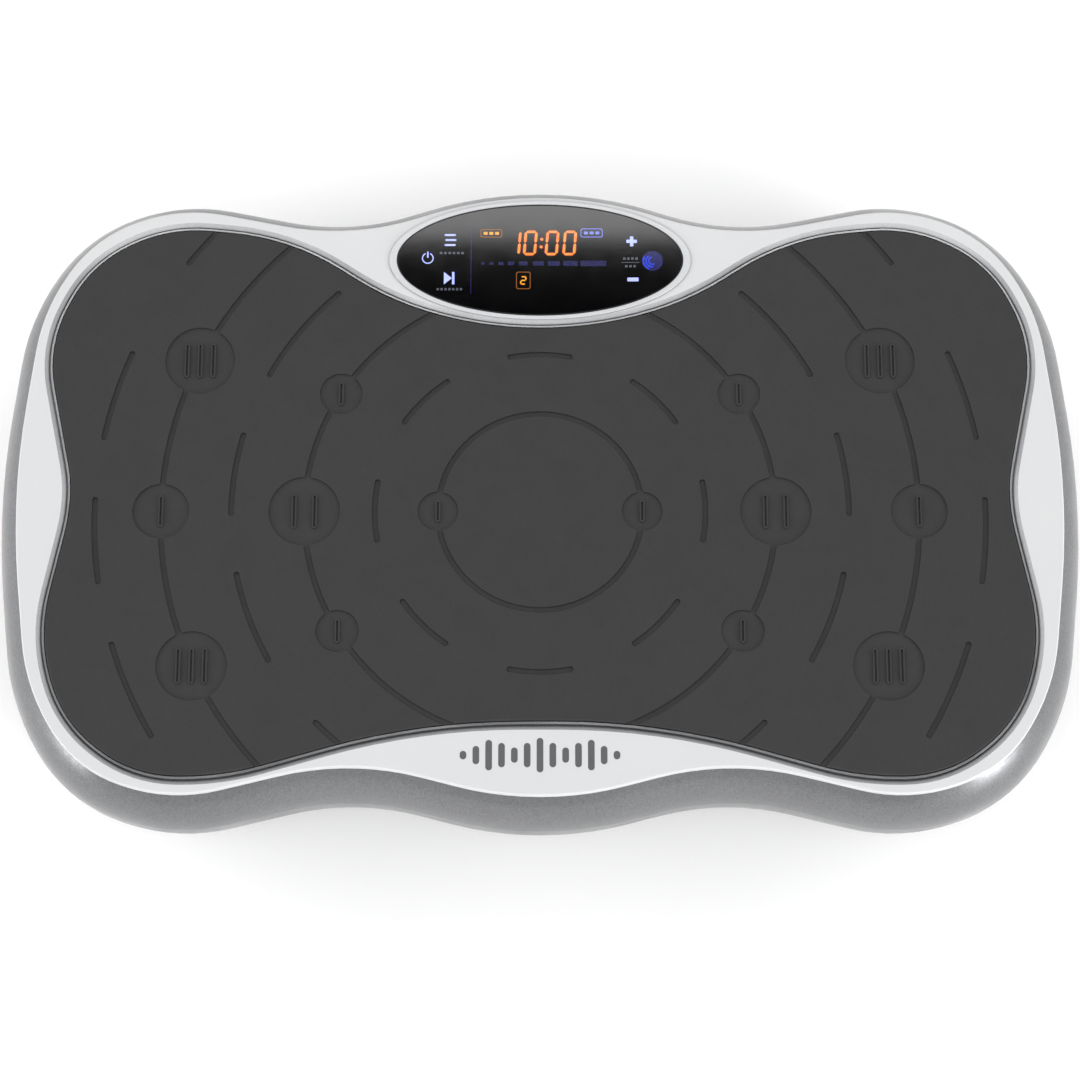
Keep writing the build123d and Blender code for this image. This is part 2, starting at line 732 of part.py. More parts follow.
def pulley(x, height, radius, bore_radius, holes):
    """Flanged belt pulley about a Y axis, with holes that lighten its web."""
    with BuildPart() as wheel:
        with BuildSketch(Plane.XZ.offset(-pulley_y)):
            with Locations((x, height)):
                Circle(radius)
        extrude(amount=pulley_width / 2, both=True)
        for side in (-1, 1):
            with BuildSketch(Plane.XZ.offset(-pulley_y - side * pulley_width / 2)):
                with Locations((x, height)):
                    Circle(radius + flange_height)
            extrude(amount=side * flange_width)
        with BuildSketch(Plane.XZ.offset(-pulley_y)):
            with Locations((x, height)):
                Circle(bore_radius)
                if holes:
                    with PolarLocations(radius * 0.62, holes):
                        Circle(radius * 0.17)
        extrude(amount=pulley_width, both=True, mode=Mode.SUBTRACT)
    return wheel


driven_pulley = pulley(drive_x, pivot_height, driven_radius, drive_shaft_radius, 6)
driven_pulley.part.label = "driven_pulley"
export_step(driven_pulley.part, "parts/driven_pulley.step")

with BuildPart() as link_rod:
    with BuildSketch(Plane.XZ):
        with Locations((drive_x + eccentricity, pivot_height)):
            Circle(link_bearing_radius + link_wall)
        with Locations((drive_x + eccentricity, link_pin_height)):
            Circle(link_eye_bore + link_eye_wall)
        with Locations((drive_x + eccentricity, (pivot_height + link_pin_height) / 2)):
            Rectangle(14, link_height)
        with Locations((drive_x + eccentricity, pivot_height)):
            Circle(link_bearing_radius, mode=Mode.SUBTRACT)
        with Locations((drive_x + eccentricity, link_pin_height)):
            Circle(link_eye_bore, mode=Mode.SUBTRACT)
    extrude(amount=link_thickness / 2, both=True)
link_rod.part.label = "link_rod"
export_step(link_rod.part, "parts/link_rod.step")

link_bearing = ball_bearing(
    drive_x + eccentricity, 0, pivot_height, link_bearing_radius, journal_radius, link_thickness
)
link_bearing.part.label = "link_bearing"
export_step(link_bearing.part, "parts/link_bearing.step")

# ------------------------------------------------------------------ motor
armature_radius = motor_radius - motor_wall - magnet_thickness - armature_gap
with BuildPart() as motor_can:
    rod(motor_x, motor_height, motor_radius, motor_front, motor_back)
    with BuildSketch(Plane.XZ.offset(-motor_back)):
        with Locations((motor_x, motor_height)):
            Circle(motor_radius - motor_wall)
    extrude(amount=motor_back - motor_front - motor_wall, mode=Mode.SUBTRACT)
    fillet(motor_can.edges().group_by(Axis.Y)[0], 3)
    with BuildSketch(Plane.XZ.offset(-motor_front)):
        with Locations((motor_x, motor_height)):
            Circle(motor_shaft_radius + 4)
    extrude(amount=4)
    with BuildSketch(Plane.XZ.offset(-motor_front)):
        with Locations((motor_x, motor_height)):
            Circle(motor_shaft_radius + running_gap)
    extrude(amount=3 * motor_wall, both=True, mode=Mode.SUBTRACT)
motor_can.part.label = "motor_can"
export_step(motor_can.part, "parts/motor_can.step")

with BuildPart() as motor_end_bell:
    rod(motor_x, motor_height, motor_radius, motor_back, motor_back + end_bell_depth)
    fillet(motor_end_bell.edges().group_by(Axis.Y)[-1], 3)
    rod(motor_x, motor_height, 11.0, motor_back + end_bell_depth, motor_back + end_bell_depth + 3)
    with BuildSketch(Plane.XZ.offset(-motor_back)):
        with Locations((motor_x, motor_height)):
            Circle(motor_radius - motor_wall)
    extrude(amount=-end_bell_depth + 3, mode=Mode.SUBTRACT)
    with BuildSketch(Plane.XZ.offset(-motor_back)):
        with Locations((motor_x, motor_height)):
            Circle(motor_shaft_radius + running_gap)
    extrude(amount=-2 * end_bell_depth, mode=Mode.SUBTRACT)
motor_end_bell.part.label = "motor_end_bell"
export_step(motor_end_bell.part, "parts/motor_end_bell.step")

with BuildPart() as motor_magnets:
    with BuildSketch(Plane.XZ.offset(-motor_front - 12)):
        with Locations((motor_x, motor_height)):
            Circle(motor_radius - motor_wall)
            Circle(motor_radius - motor_wall - magnet_thickness, mode=Mode.SUBTRACT)
            Rectangle(2 * motor_radius, 16, mode=Mode.SUBTRACT)
    extrude(amount=-50)
motor_magnets.part.label = "motor_magnets"
export_step(motor_magnets.part, "parts/motor_magnets.step")

with BuildPart() as motor_armature:
    with BuildSketch(Plane.XZ.offset(-motor_front - 14)):
        with Locations((motor_x, motor_height)):
            Circle(armature_radius)
            with PolarLocations(armature_radius, 12):
                Rectangle(7, 1.8, mode=Mode.SUBTRACT)
            Circle(motor_shaft_radius, mode=Mode.SUBTRACT)
    extrude(amount=-44)
    with BuildSketch(Plane.XZ.offset(-motor_front - 60)):
        with Locations((motor_x, motor_height)):
            Circle(9)
            Circle(motor_shaft_radius, mode=Mode.SUBTRACT)
    extrude(amount=-12)
    with BuildSketch(Plane.XZ.offset(-motor_front - 58)):
        with Locations((motor_x, motor_height)):
            Circle(motor_shaft_radius + 2)
            Circle(motor_shaft_radius, mode=Mode.SUBTRACT)
    extrude(amount=-2)
motor_armature.part.label = "motor_armature"
export_step(motor_armature.part, "parts/motor_armature.step")

with BuildPart() as motor_shaft:
    rod(motor_x, motor_height, motor_shaft_radius, motor_front - 6, drive_back)
motor_shaft.part.label = "motor_shaft"
export_step(motor_shaft.part, "parts/motor_shaft.step")

motor_pulley = pulley(motor_x, motor_height, driver_radius, motor_shaft_radius, 0)
motor_pulley.part.label = "motor_pulley"
export_step(motor_pulley.part, "parts/motor_pulley.step")

with BuildPart() as drive_belt:
    with BuildSketch(Plane.XZ.offset(-pulley_y)):
        for grow, mode in ((belt_gap + belt_thickness, Mode.ADD), (belt_gap, Mode.SUBTRACT)):
            ends = [
                Edge.make_circle(driven_radius + grow, Plane((drive_x, pivot_height))),
                Edge.make_circle(driver_radius + grow, Plane((motor_x, motor_height))),
            ]
            make_hull(ends, mode=mode)
    extrude(amount=belt_width / 2, both=True)
drive_belt.part.label = "drive_belt"
export_step(drive_belt.part, "parts/drive_belt.step")

# The motor's bracket carries it by its end bell; a cradle holds the can's far end.
bracket_face = motor_back + end_bell_depth
with BuildPart() as motor_bracket:
    with Locations((motor_x, bracket_face, plate_top)):
        Box(64, 3, motor_height + 26 - plate_top, align=(Align.CENTER, Align.MIN, Align.MIN))
        Box(64, 11, 3, align=(Align.CENTER, Align.MIN, Align.MIN))
    with BuildSketch(Plane.XZ.offset(-bracket_face)):
        with Locations((motor_x, motor_height)):
            Circle(11.3)
            with PolarLocations(19, 4, start_angle=45):
                Circle(2.1)
    extrude(amount=-4, mode=Mode.SUBTRACT)
    with Locations(*[(motor_x + x, bracket_face + 7, plate_top) for x in (-26, 26)]):
        Cylinder(2.1, 8, mode=Mode.SUBTRACT)
motor_bracket.part.label = "motor_bracket"
export_step(motor_bracket.part, "parts/motor_bracket.step")

with BuildPart() as motor_cradle:
    with BuildSketch(Plane.XZ.offset(-motor_front - 10)):
        with Locations((motor_x, plate_top)):
            Rectangle(46, 14, align=(Align.CENTER, Align.MIN))
        with Locations((motor_x, motor_height)):
            Circle(motor_radius, mode=Mode.SUBTRACT)
    extrude(amount=-16)
motor_cradle.part.label = "motor_cradle"
export_step(motor_cradle.part, "parts/motor_cradle.step")

# ------------------------------------------------------------------ base
panel_y = cover_half_depth - 30.0
panel_top = panel_floor + panel_height
board_spots = [
    (board_x + dx, board_y + dy)
    for dx in (-board_length / 2 + 6, board_length / 2 - 6)
    for dy in (-board_depth / 2 + 6, board_depth / 2 - 6)
]
foot_spots = {
    "front_left": (-foot_x, -foot_y),
    "front_right": (foot_x, -foot_y),
    "rear_left": (-foot_x, foot_y),
    "rear_right": (foot_x, foot_y),
}
plate_spots = [
    (x, y)
    for x in (base_plate_left + 12, -96, base_plate_right - 10)
    for y in (-base_plate_half_depth + 10, base_plate_half_depth - 10)
]
tray_body = extrude(
    outline(cover_corners, tray_underside, -tray_inset), amount=tray_top - tray_underside
)
panel_case = Pos(panel_x, panel_y - panel_wall, panel_floor - panel_wall) * Box(
    panel_length + 2 * panel_wall,
    60,
    panel_height + 2 * panel_wall,
    align=(Align.CENTER, Align.MIN, Align.MIN),
)
inlet_x = panel_x + panel_length / 2 - 8 - inlet_width / 2 - 8
switch_x = panel_x - panel_length / 2 + 10 + switch_width / 2
panel_mid = panel_floor + panel_height / 2
with BuildPart() as base_tray:
    with BuildLine() as tray_line:
        FilletPolyline(*cover_corners, radius=corner_radii(cover_corners))
    with BuildSketch(Plane.YZ):
        with BuildLine():
            Polyline(
                beside_seam(-tray_inset, tray_top),
                beside_seam(-tray_inset, tray_underside + tray_corner),
                beside_seam(-tray_inset - tray_corner, tray_underside),
                beside_seam(-tray_inset - tray_corner - 4, tray_underside),
                beside_seam(-tray_inset - tray_corner - 4, tray_inside),
                beside_seam(-tray_inset - tray_corner, tray_inside),
                beside_seam(-tray_inset - tray_wall, tray_inside + tray_corner - tray_wall),
                beside_seam(-tray_inset - tray_wall, tray_top),
                close=True,
            )
        make_face()
    sweep(path=tray_line.wire())
    mirror(about=Plane.YZ)
    extrude(outline(cover_corners, tray_underside, -tray_inset - tray_corner - 2), amount=tray_floor)
    add(panel_case & tray_body)
    with Locations((panel_x, panel_y, panel_floor)):
        Box(
            panel_length,
            60,
            panel_height,
            align=(Align.CENTER, Align.MIN, Align.MIN),
            mode=Mode.SUBTRACT,
        )
    with Locations((inlet_x, panel_y, panel_mid)):
        Box(inlet_width + 2 * skin_gap, 20, inlet_height + 2 * skin_gap, mode=Mode.SUBTRACT)
    with Locations((switch_x, panel_y, panel_mid)):
        Box(switch_width + 2 * skin_gap, 20, switch_height + 2 * skin_gap, mode=Mode.SUBTRACT)
    with Locations(*[(x, y, tray_inside) for x, y in foot_spots.values()]):
        Cylinder(3.2, 20, mode=Mode.SUBTRACT)
    with Locations(*[(x, y, tray_inside) for x, y in plate_spots + board_spots]):
        Cylinder(2.1, 20, mode=Mode.SUBTRACT)
    with Locations((board_x, board_y, tray_inside)):
        with GridLocations(0, 11, 1, 5):
            Box(60, 4, 20, mode=Mode.SUBTRACT)
base_tray.part.label = "base_tray"
export_step(base_tray.part, "parts/base_tray.step")

with BuildPart() as base_plate:
    with Locations(((base_plate_left + base_plate_right) / 2, 0, tray_inside)):
        Box(
            base_plate_right - base_plate_left,
            2 * base_plate_half_depth,
            base_plate_thickness,
            align=(Align.CENTER, Align.CENTER, Align.MIN),
        )
    fillet(base_plate.edges().filter_by(Axis.Z), 8)
    with Locations(*[(x, y, tray_inside) for x, y in plate_spots]):
        Cylinder(2.1, 20, mode=Mode.SUBTRACT)
    with Locations(*[(motor_x + x, bracket_face + 7, plate_top) for x in (-26, 26)]):
        Cylinder(2.0, 8, mode=Mode.SUBTRACT)
base_plate.part.label = "base_plate"
export_step(base_plate.part, "parts/base_plate.step")

# Uprights welded to the base plate: the outer pair holds the pivot shaft, the inner pair the
# eccentric shaft's bearings.
for end, side in (("front", -1), ("rear", 1)):
    y = side * bracket_y
    with BuildPart() as bracket:
        with BuildSketch(Plane.XZ.offset(-y)):
            with Locations((0, pivot_height)):
                Circle(pivot_shaft_radius + 7)
            Polygon(
                (-28, plate_top),
                (28, plate_top),
                (pivot_shaft_radius + 7, pivot_height),
                (-pivot_shaft_radius - 7, pivot_height),
                align=None,
            )
            with Locations((0, pivot_height)):
                Circle(pivot_shaft_radius, mode=Mode.SUBTRACT)
        extrude(amount=-side * bracket_thickness)
        with Locations((0, y + side * bracket_thickness, plate_top)):
            Box(
                56,
                12,
                bracket_thickness,
                align=(Align.CENTER, Align.MIN if side > 0 else Align.MAX, Align.MIN),
            )
    bracket.part.label = f"{end}_pivot_bracket"
    export_step(bracket.part, f"parts/{end}_pivot_bracket.step")

    y = side * drive_housing_y
    with BuildPart() as housing:
        with BuildSketch(Plane.XZ.offset(-y)):
            with Locations((drive_x, pivot_height)):
                Circle(drive_bearing_radius + drive_housing_wall)
            with Locations((drive_x, plate_top)):
                Rectangle(
                    2 * drive_bearing_radius,
                    pivot_height - plate_top,
                    align=(Align.CENTER, Align.MIN),
                )
                Rectangle(62, 8, align=(Align.CENTER, Align.MIN))
            with Locations((drive_x, pivot_height)):
                Circle(drive_bearing_radius, mode=Mode.SUBTRACT)
        extrude(amount=drive_housing_width / 2, both=True)
    housing.part.label = f"{end}_shaft_housing"
    export_step(housing.part, f"parts/{end}_shaft_housing.step")

    bearing = ball_bearing(
        drive_x, y, pivot_height, drive_bearing_radius, drive_shaft_radius, drive_bearing_width
    )
    bearing.part.label = f"{end}_shaft_bearing"
    export_step(bearing.part, f"parts/{end}_shaft_bearing.step")

pivot_end = bracket_y + bracket_thickness + 1.2
with BuildPart() as pivot_shaft:
    rod(0, pivot_height, pivot_shaft_radius, -pivot_end - 2, pivot_end + 2)
pivot_shaft.part.label = "pivot_shaft"
export_step(pivot_shaft.part, "parts/pivot_shaft.step")

with BuildPart() as shaft_clips:
    for side in (-1, 1):
        with BuildSketch(Plane.XZ.offset(-side * (bracket_y + bracket_thickness))):
            with Locations((0, pivot_height)):
                Circle(pivot_shaft_radius + 3)
                Circle(pivot_shaft_radius, mode=Mode.SUBTRACT)
                with Locations((0, -pivot_shaft_radius - 2)):
                    Rectangle(4, 6, mode=Mode.SUBTRACT)
        extrude(amount=-side * 1.2)
shaft_clips.part.label = "shaft_clips"
export_step(shaft_clips.part, "parts/shaft_clips.step")

# ------------------------------------------------------------------ base: electronics
board_bottom = tray_inside + standoff_height
board_top = board_bottom + board_thickness
with BuildPart() as board_standoffs:
    with Locations(*[(x, y, tray_inside) for x, y in board_spots]):
        with Locations((0, 0, standoff_height / 2)):
            Cylinder(3.5, standoff_height)
            Cylinder(1.5, standoff_height, mode=Mode.SUBTRACT)
board_standoffs.part.label = "board_standoffs"
export_step(board_standoffs.part, "parts/board_standoffs.step")

with BuildPart() as control_board:
    with Locations((board_x, board_y, board_bottom)):
        Box(board_length, board_depth, board_thickness, align=(Align.CENTER, Align.CENTER, Align.MIN))
    with Locations(*[(x, y, board_bottom) for x, y in board_spots]):
        Cylinder(1.6, 10, mode=Mode.SUBTRACT)
control_board.part.label = "control_board"
export_step(control_board.part, "parts/control_board.step")

# Screws of the base: plate to tray, board to standoffs, and the motor's bracket.
with BuildPart() as base_screws:
    with Locations(*[(x, y, plate_top) for x, y in plate_spots]):
        Cylinder(4.2, 2.4, align=(Align.CENTER, Align.CENTER, Align.MIN))
        Cylinder(2.0, plate_top - tray_underside - 0.2, align=(Align.CENTER, Align.CENTER, Align.MAX))
    with Locations(*[(x, y, board_top) for x, y in board_spots]):
        Cylinder(2.8, 2.0, align=(Align.CENTER, Align.CENTER, Align.MIN))
        Cylinder(1.4, 9.0, align=(Align.CENTER, Align.CENTER, Align.MAX))
    with Locations(*[(motor_x + x, bracket_face + 7, plate_top + 3) for x in (-26, 26)]):
        Cylinder(3.6, 2.4, align=(Align.CENTER, Align.CENTER, Align.MIN))
        Cylinder(2.0, 6.0, align=(Align.CENTER, Align.CENTER, Align.MAX))
    for radius, reach in ((3.6, -2.4), (2.0, 3)):
        with BuildSketch(Plane.XZ.offset(-bracket_face - 3)):
            with Locations((motor_x, motor_height)):
                with PolarLocations(19, 4, start_angle=45):
                    Circle(radius)
        extrude(amount=reach)
base_screws.part.label = "base_screws"
export_step(base_screws.part, "parts/base_screws.step")

with BuildPart() as heat_sink:
    with Locations((board_x - 28, board_y + 8, board_top)):
        Box(26, 44, 5, align=(Align.CENTER, Align.CENTER, Align.MIN))
        with GridLocations(5.5, 0, 5, 1):
            Box(1.8, 44, 24, align=(Align.CENTER, Align.CENTER, Align.MIN))
heat_sink.part.label = "heat_sink"
export_step(heat_sink.part, "parts/heat_sink.step")

with BuildPart() as capacitors:
    with Locations((board_x + 2, board_y + 8, board_top)):
        with GridLocations(0, 16, 1, 3):
            Cylinder(6, 24, align=(Align.CENTER, Align.CENTER, Align.MIN))
    fillet(capacitors.edges().group_by(Axis.Z)[-1], 0.8)
capacitors.part.label = "capacitors"
export_step(capacitors.part, "parts/capacitors.step")

with BuildPart() as line_choke:
    with Locations((board_x + 30, board_y + 14, board_top)):
        Box(24, 20, 5, align=(Align.CENTER, Align.CENTER, Align.MIN))
    with BuildSketch(Plane.XZ.offset(-board_y - 14)):
        with Locations((board_x + 30, board_top + 16)):
            Circle(12)
            Circle(5, mode=Mode.SUBTRACT)
    extrude(amount=5, both=True)
line_choke.part.label = "line_choke"
export_step(line_choke.part, "parts/line_choke.step")

# Mains inlet: a flanged socket let into the rear panel, with three recessed pins.
flange = 4.0
flange_thickness = 2.4
socket_wall = 2.2
socket_depth = 15.0
pin_length = 9.0
with BuildPart() as power_inlet:
    with Locations((inlet_x, panel_y, panel_mid)):
        Box(
            inlet_width + 2 * flange,
            flange_thickness,
            inlet_height + flange,
            align=(Align.CENTER, Align.MIN, Align.CENTER),
        )
        Box(inlet_width, inlet_depth, inlet_height, align=(Align.CENTER, Align.MAX, Align.CENTER))
    with Locations((inlet_x, panel_y + flange_thickness, panel_mid)):
        Box(
            inlet_width - 2 * socket_wall,
            socket_depth,
            inlet_height - 2 * socket_wall,
            align=(Align.CENTER, Align.MAX, Align.CENTER),
            mode=Mode.SUBTRACT,
        )
power_inlet.part.label = "power_inlet"
export_step(power_inlet.part, "parts/power_inlet.step")

pin_root = panel_y + flange_thickness - socket_depth
with BuildPart() as inlet_pins:
    with BuildSketch(Plane.XZ.offset(-pin_root)):
        with Locations(
            (inlet_x - 7, panel_mid - 2), (inlet_x + 7, panel_mid - 2), (inlet_x, panel_mid + 2)
        ):
            Rectangle(2, 4)
    extrude(amount=-pin_length)
inlet_pins.part.label = "inlet_pins"
export_step(inlet_pins.part, "parts/inlet_pins.step")

# Mains switch: a frame in the panel and a rocker that tips on a pin across it.
rocker_length = switch_width - 4.0
rocker_height = switch_height - 4.0
rocker_axis_y = panel_y - 1.5
rocker_pin_radius = 1.2
rocker_tilt = 8.0           # degrees off its middle, either way; it rests switched off
with BuildPart() as power_switch_housing:
    with Locations((switch_x, panel_y, panel_mid)):
        Box(
            switch_width + flange,
            2.0,
            switch_height + flange,
            align=(Align.CENTER, Align.MIN, Align.CENTER),
        )
        Box(switch_width, switch_depth, switch_height, align=(Align.CENTER, Align.MAX, Align.CENTER))
    with Locations((switch_x, panel_y + 2.0, panel_mid)):
        Box(
            rocker_length + 2 * skin_gap + 0.4,
            12,
            rocker_height + 2 * skin_gap,
            align=(Align.CENTER, Align.MAX, Align.CENTER),
            mode=Mode.SUBTRACT,
        )
    with Locations((switch_x, rocker_axis_y, panel_mid)):
        Cylinder(rocker_pin_radius, switch_height - 1)
power_switch_housing.part.label = "power_switch_housing"
export_step(power_switch_housing.part, "parts/power_switch_housing.step")

with BuildPart() as power_switch_rocker:
    with BuildSketch(Plane.XY.offset(panel_mid)):
        with Locations(Location((switch_x, rocker_axis_y), -rocker_tilt)):
            Polygon(
                (-rocker_length / 2 + 0.6, 0.5),
                (-rocker_length / 2 + 0.6, 4.2),
                (0, 3.4),
                (rocker_length / 2 - 0.6, 4.2),
                (rocker_length / 2 - 0.6, 0.5),
                (3, -3.5),
                (-3, -3.5),
                align=None,
            )
            Circle(rocker_pin_radius + running_gap, mode=Mode.SUBTRACT)
    extrude(amount=rocker_height / 2, both=True)
power_switch_rocker.part.label = "power_switch_rocker"
export_step(power_switch_rocker.part, "parts/power_switch_rocker.step")

# ------------------------------------------------------------------ feet
for place, spot in foot_spots.items():
    with BuildPart() as foot:
        foot_plane = Plane(origin=(spot[0], spot[1], 0), x_dir=(1, 0, 0), z_dir=(0, -1, 0))
        with BuildSketch(foot_plane):
            with BuildLine():
                Polyline(
                    (3.2, foot_height),
                    (foot_radius - 4, foot_height),
                    (foot_radius - 4, foot_height - 5),
                )
                ThreePointArc(
                    (foot_radius - 4, foot_height - 5),
                    (foot_radius - 2.6, foot_height - 10),
                    (foot_radius, 1.0),
                )
                Polyline(
                    (foot_radius, 1.0),
                    (foot_radius - 1, 0),
                    (foot_radius - 5, 0),
                )
                ThreePointArc((foot_radius - 5, 0), (foot_radius - 10, 1.6), (8, 2.2))
                Polyline((8, 2.2), (8, 6), (3.2, 6), (3.2, foot_height))
            make_face()
        revolve(axis=Axis((spot[0], spot[1], 0), (0, 0, 1)))
    foot.part.label = f"foot_{place}"
    export_step(foot.part, f"parts/foot_{place}.step")

with BuildPart() as foot_bolts:
    with Locations(*[(x, y, 0) for x, y in foot_spots.values()]):
        with Locations((0, 0, 6)):
            Cylinder(3.0, 17, align=(Align.CENTER, Align.CENTER, Align.MIN))
            Cylinder(6.5, 2.8, align=(Align.CENTER, Align.CENTER, Align.MAX))
        with Locations((0, 0, tray_inside)):
            Cylinder(5.0, 4.0, align=(Align.CENTER, Align.CENTER, Align.MIN))
foot_bolts.part.label = "foot_bolts"
export_step(foot_bolts.part, "parts/foot_bolts.step")
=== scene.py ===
"""Slim vibration plate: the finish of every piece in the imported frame, the lit display behind
its black lens, the printed ornament on the cover, and the studio that shows them."""

import json
import logging
import math
from dataclasses import dataclass, field
from enum import Enum
from typing import Any, ClassVar

import bmesh
import bpy
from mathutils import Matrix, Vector
from mathutils.kdtree import KDTree

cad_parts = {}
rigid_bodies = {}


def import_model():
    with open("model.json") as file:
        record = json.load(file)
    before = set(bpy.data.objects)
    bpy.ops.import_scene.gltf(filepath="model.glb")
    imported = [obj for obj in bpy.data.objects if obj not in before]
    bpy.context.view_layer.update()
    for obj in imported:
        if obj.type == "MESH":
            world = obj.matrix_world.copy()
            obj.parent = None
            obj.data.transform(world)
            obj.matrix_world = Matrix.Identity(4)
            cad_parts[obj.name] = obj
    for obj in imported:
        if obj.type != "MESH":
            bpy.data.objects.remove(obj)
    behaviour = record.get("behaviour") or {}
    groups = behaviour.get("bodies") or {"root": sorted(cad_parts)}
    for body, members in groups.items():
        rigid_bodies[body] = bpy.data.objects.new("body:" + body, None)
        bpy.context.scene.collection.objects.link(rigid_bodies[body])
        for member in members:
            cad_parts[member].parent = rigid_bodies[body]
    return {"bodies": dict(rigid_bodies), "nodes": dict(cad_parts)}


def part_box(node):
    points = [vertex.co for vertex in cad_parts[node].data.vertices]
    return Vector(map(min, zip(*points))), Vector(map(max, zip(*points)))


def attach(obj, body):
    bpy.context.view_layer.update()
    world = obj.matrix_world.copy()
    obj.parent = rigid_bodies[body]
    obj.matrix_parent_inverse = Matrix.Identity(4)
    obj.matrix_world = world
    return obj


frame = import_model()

log = logging.getLogger("vibration_plate")
MM = 0.001

Tree = bpy.types.NodeTree
Socket = bpy.types.NodeSocket
Shell = bmesh.types.BMesh
Corner = bmesh.types.BMVert
Pair = tuple[float, float]
Triple = tuple[float, float, float]
Outline = list[Pair]


def clear_defaults() -> None:
    """Removes the objects that a new Blender file starts with."""
    kept = set(frame["nodes"].values()) | set(frame["bodies"].values())
    for thing in list(bpy.data.objects):
        if thing not in kept:
            bpy.data.objects.remove(thing)
    bpy.context.view_layer.update()


clear_defaults()
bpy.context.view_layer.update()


# ---------------- colours and nodes
def linear(code: str) -> tuple[float, float, float, float]:
    """Turns an sRGB colour to linear light.

    Args:
        code: The colour as "#rrggbb".

    Returns:
        Linear red, green and blue, and an alpha of 1.
    """
    parts = [int(code[i : i + 2], 16) / 255 for i in (1, 3, 5)]
    red, green, blue = (
        p / 12.92 if p <= 0.04045 else ((p + 0.055) / 1.055) ** 2.4 for p in parts
    )
    return red, green, blue, 1.0


def per_mm(size: float) -> float:
    """Scale of a texture whose cells are this many millimetres across."""
    return 1.0 / (size * MM)


def add_node(
    tree: Tree, kind: str, inputs: dict[Any, Any] | None = None, **settings: Any
) -> bpy.types.Node:
    """Adds one node with its settings and links.

    Args:
        tree: The tree that takes the node.
        kind: The node's type, such as "ShaderNodeBump".
        inputs: Values for its sockets, by name or number; a socket of another node is linked.
        **settings: Its other settings.

    Returns:
        The new node.
    """
    node = tree.nodes.new(kind)
    for name, value in settings.items():
        setattr(node, name, value)
    for key, value in (inputs or {}).items():
        if isinstance(value, Socket):
            tree.links.new(value, node.inputs[key])
        else:
            node.inputs[key].default_value = value
    return node


# ---------------- finishes
PAINTED_SHADE = "#070707"           # Painted shade, laid dark in grooves and inner corners.
FLAKE = "#E8E9EA"           # An aluminium flake that faces the light.
MASKED_COPPER = "#2F7A3C"   # Solder mask with copper under it.
FLAKE_GLINT = 0.10          # Share of the flake's colour in the brightest flake.
SCRATCH_LENGTH = 60         # Cells this many times as long as wide read as scratches.
COAT_ROUGHNESS = 0.12
SHEEN_ROUGHNESS = 0.5
PATCH_SHARE = 0.25          # Weight of the soft patches, beside the relief, in the tone.
FINEST_PATCH = 1 / 3        # Size of the patches of gloss beside those of colour.


class Grain(Enum):
    """What the relief of a surface looks like close up."""

    STIPPLE = "even noise, as a spark-eroded mould or a sprayed coat leaves"
    PEBBLE = "rounded cells, as a leather-grained mould leaves"
    BRUSHED = "long parallel scratches"
    RINGS = "turning or grinding lines round an axis"
    BANDS = "wires or ribs side by side"
    TRACKS = "conductor tracks and pads of a board"


class Axis(Enum):
    """Direction that scratches, ribs or an axis of turning lie along."""

    X = "X"
    Y = "Y"
    Z = "Z"


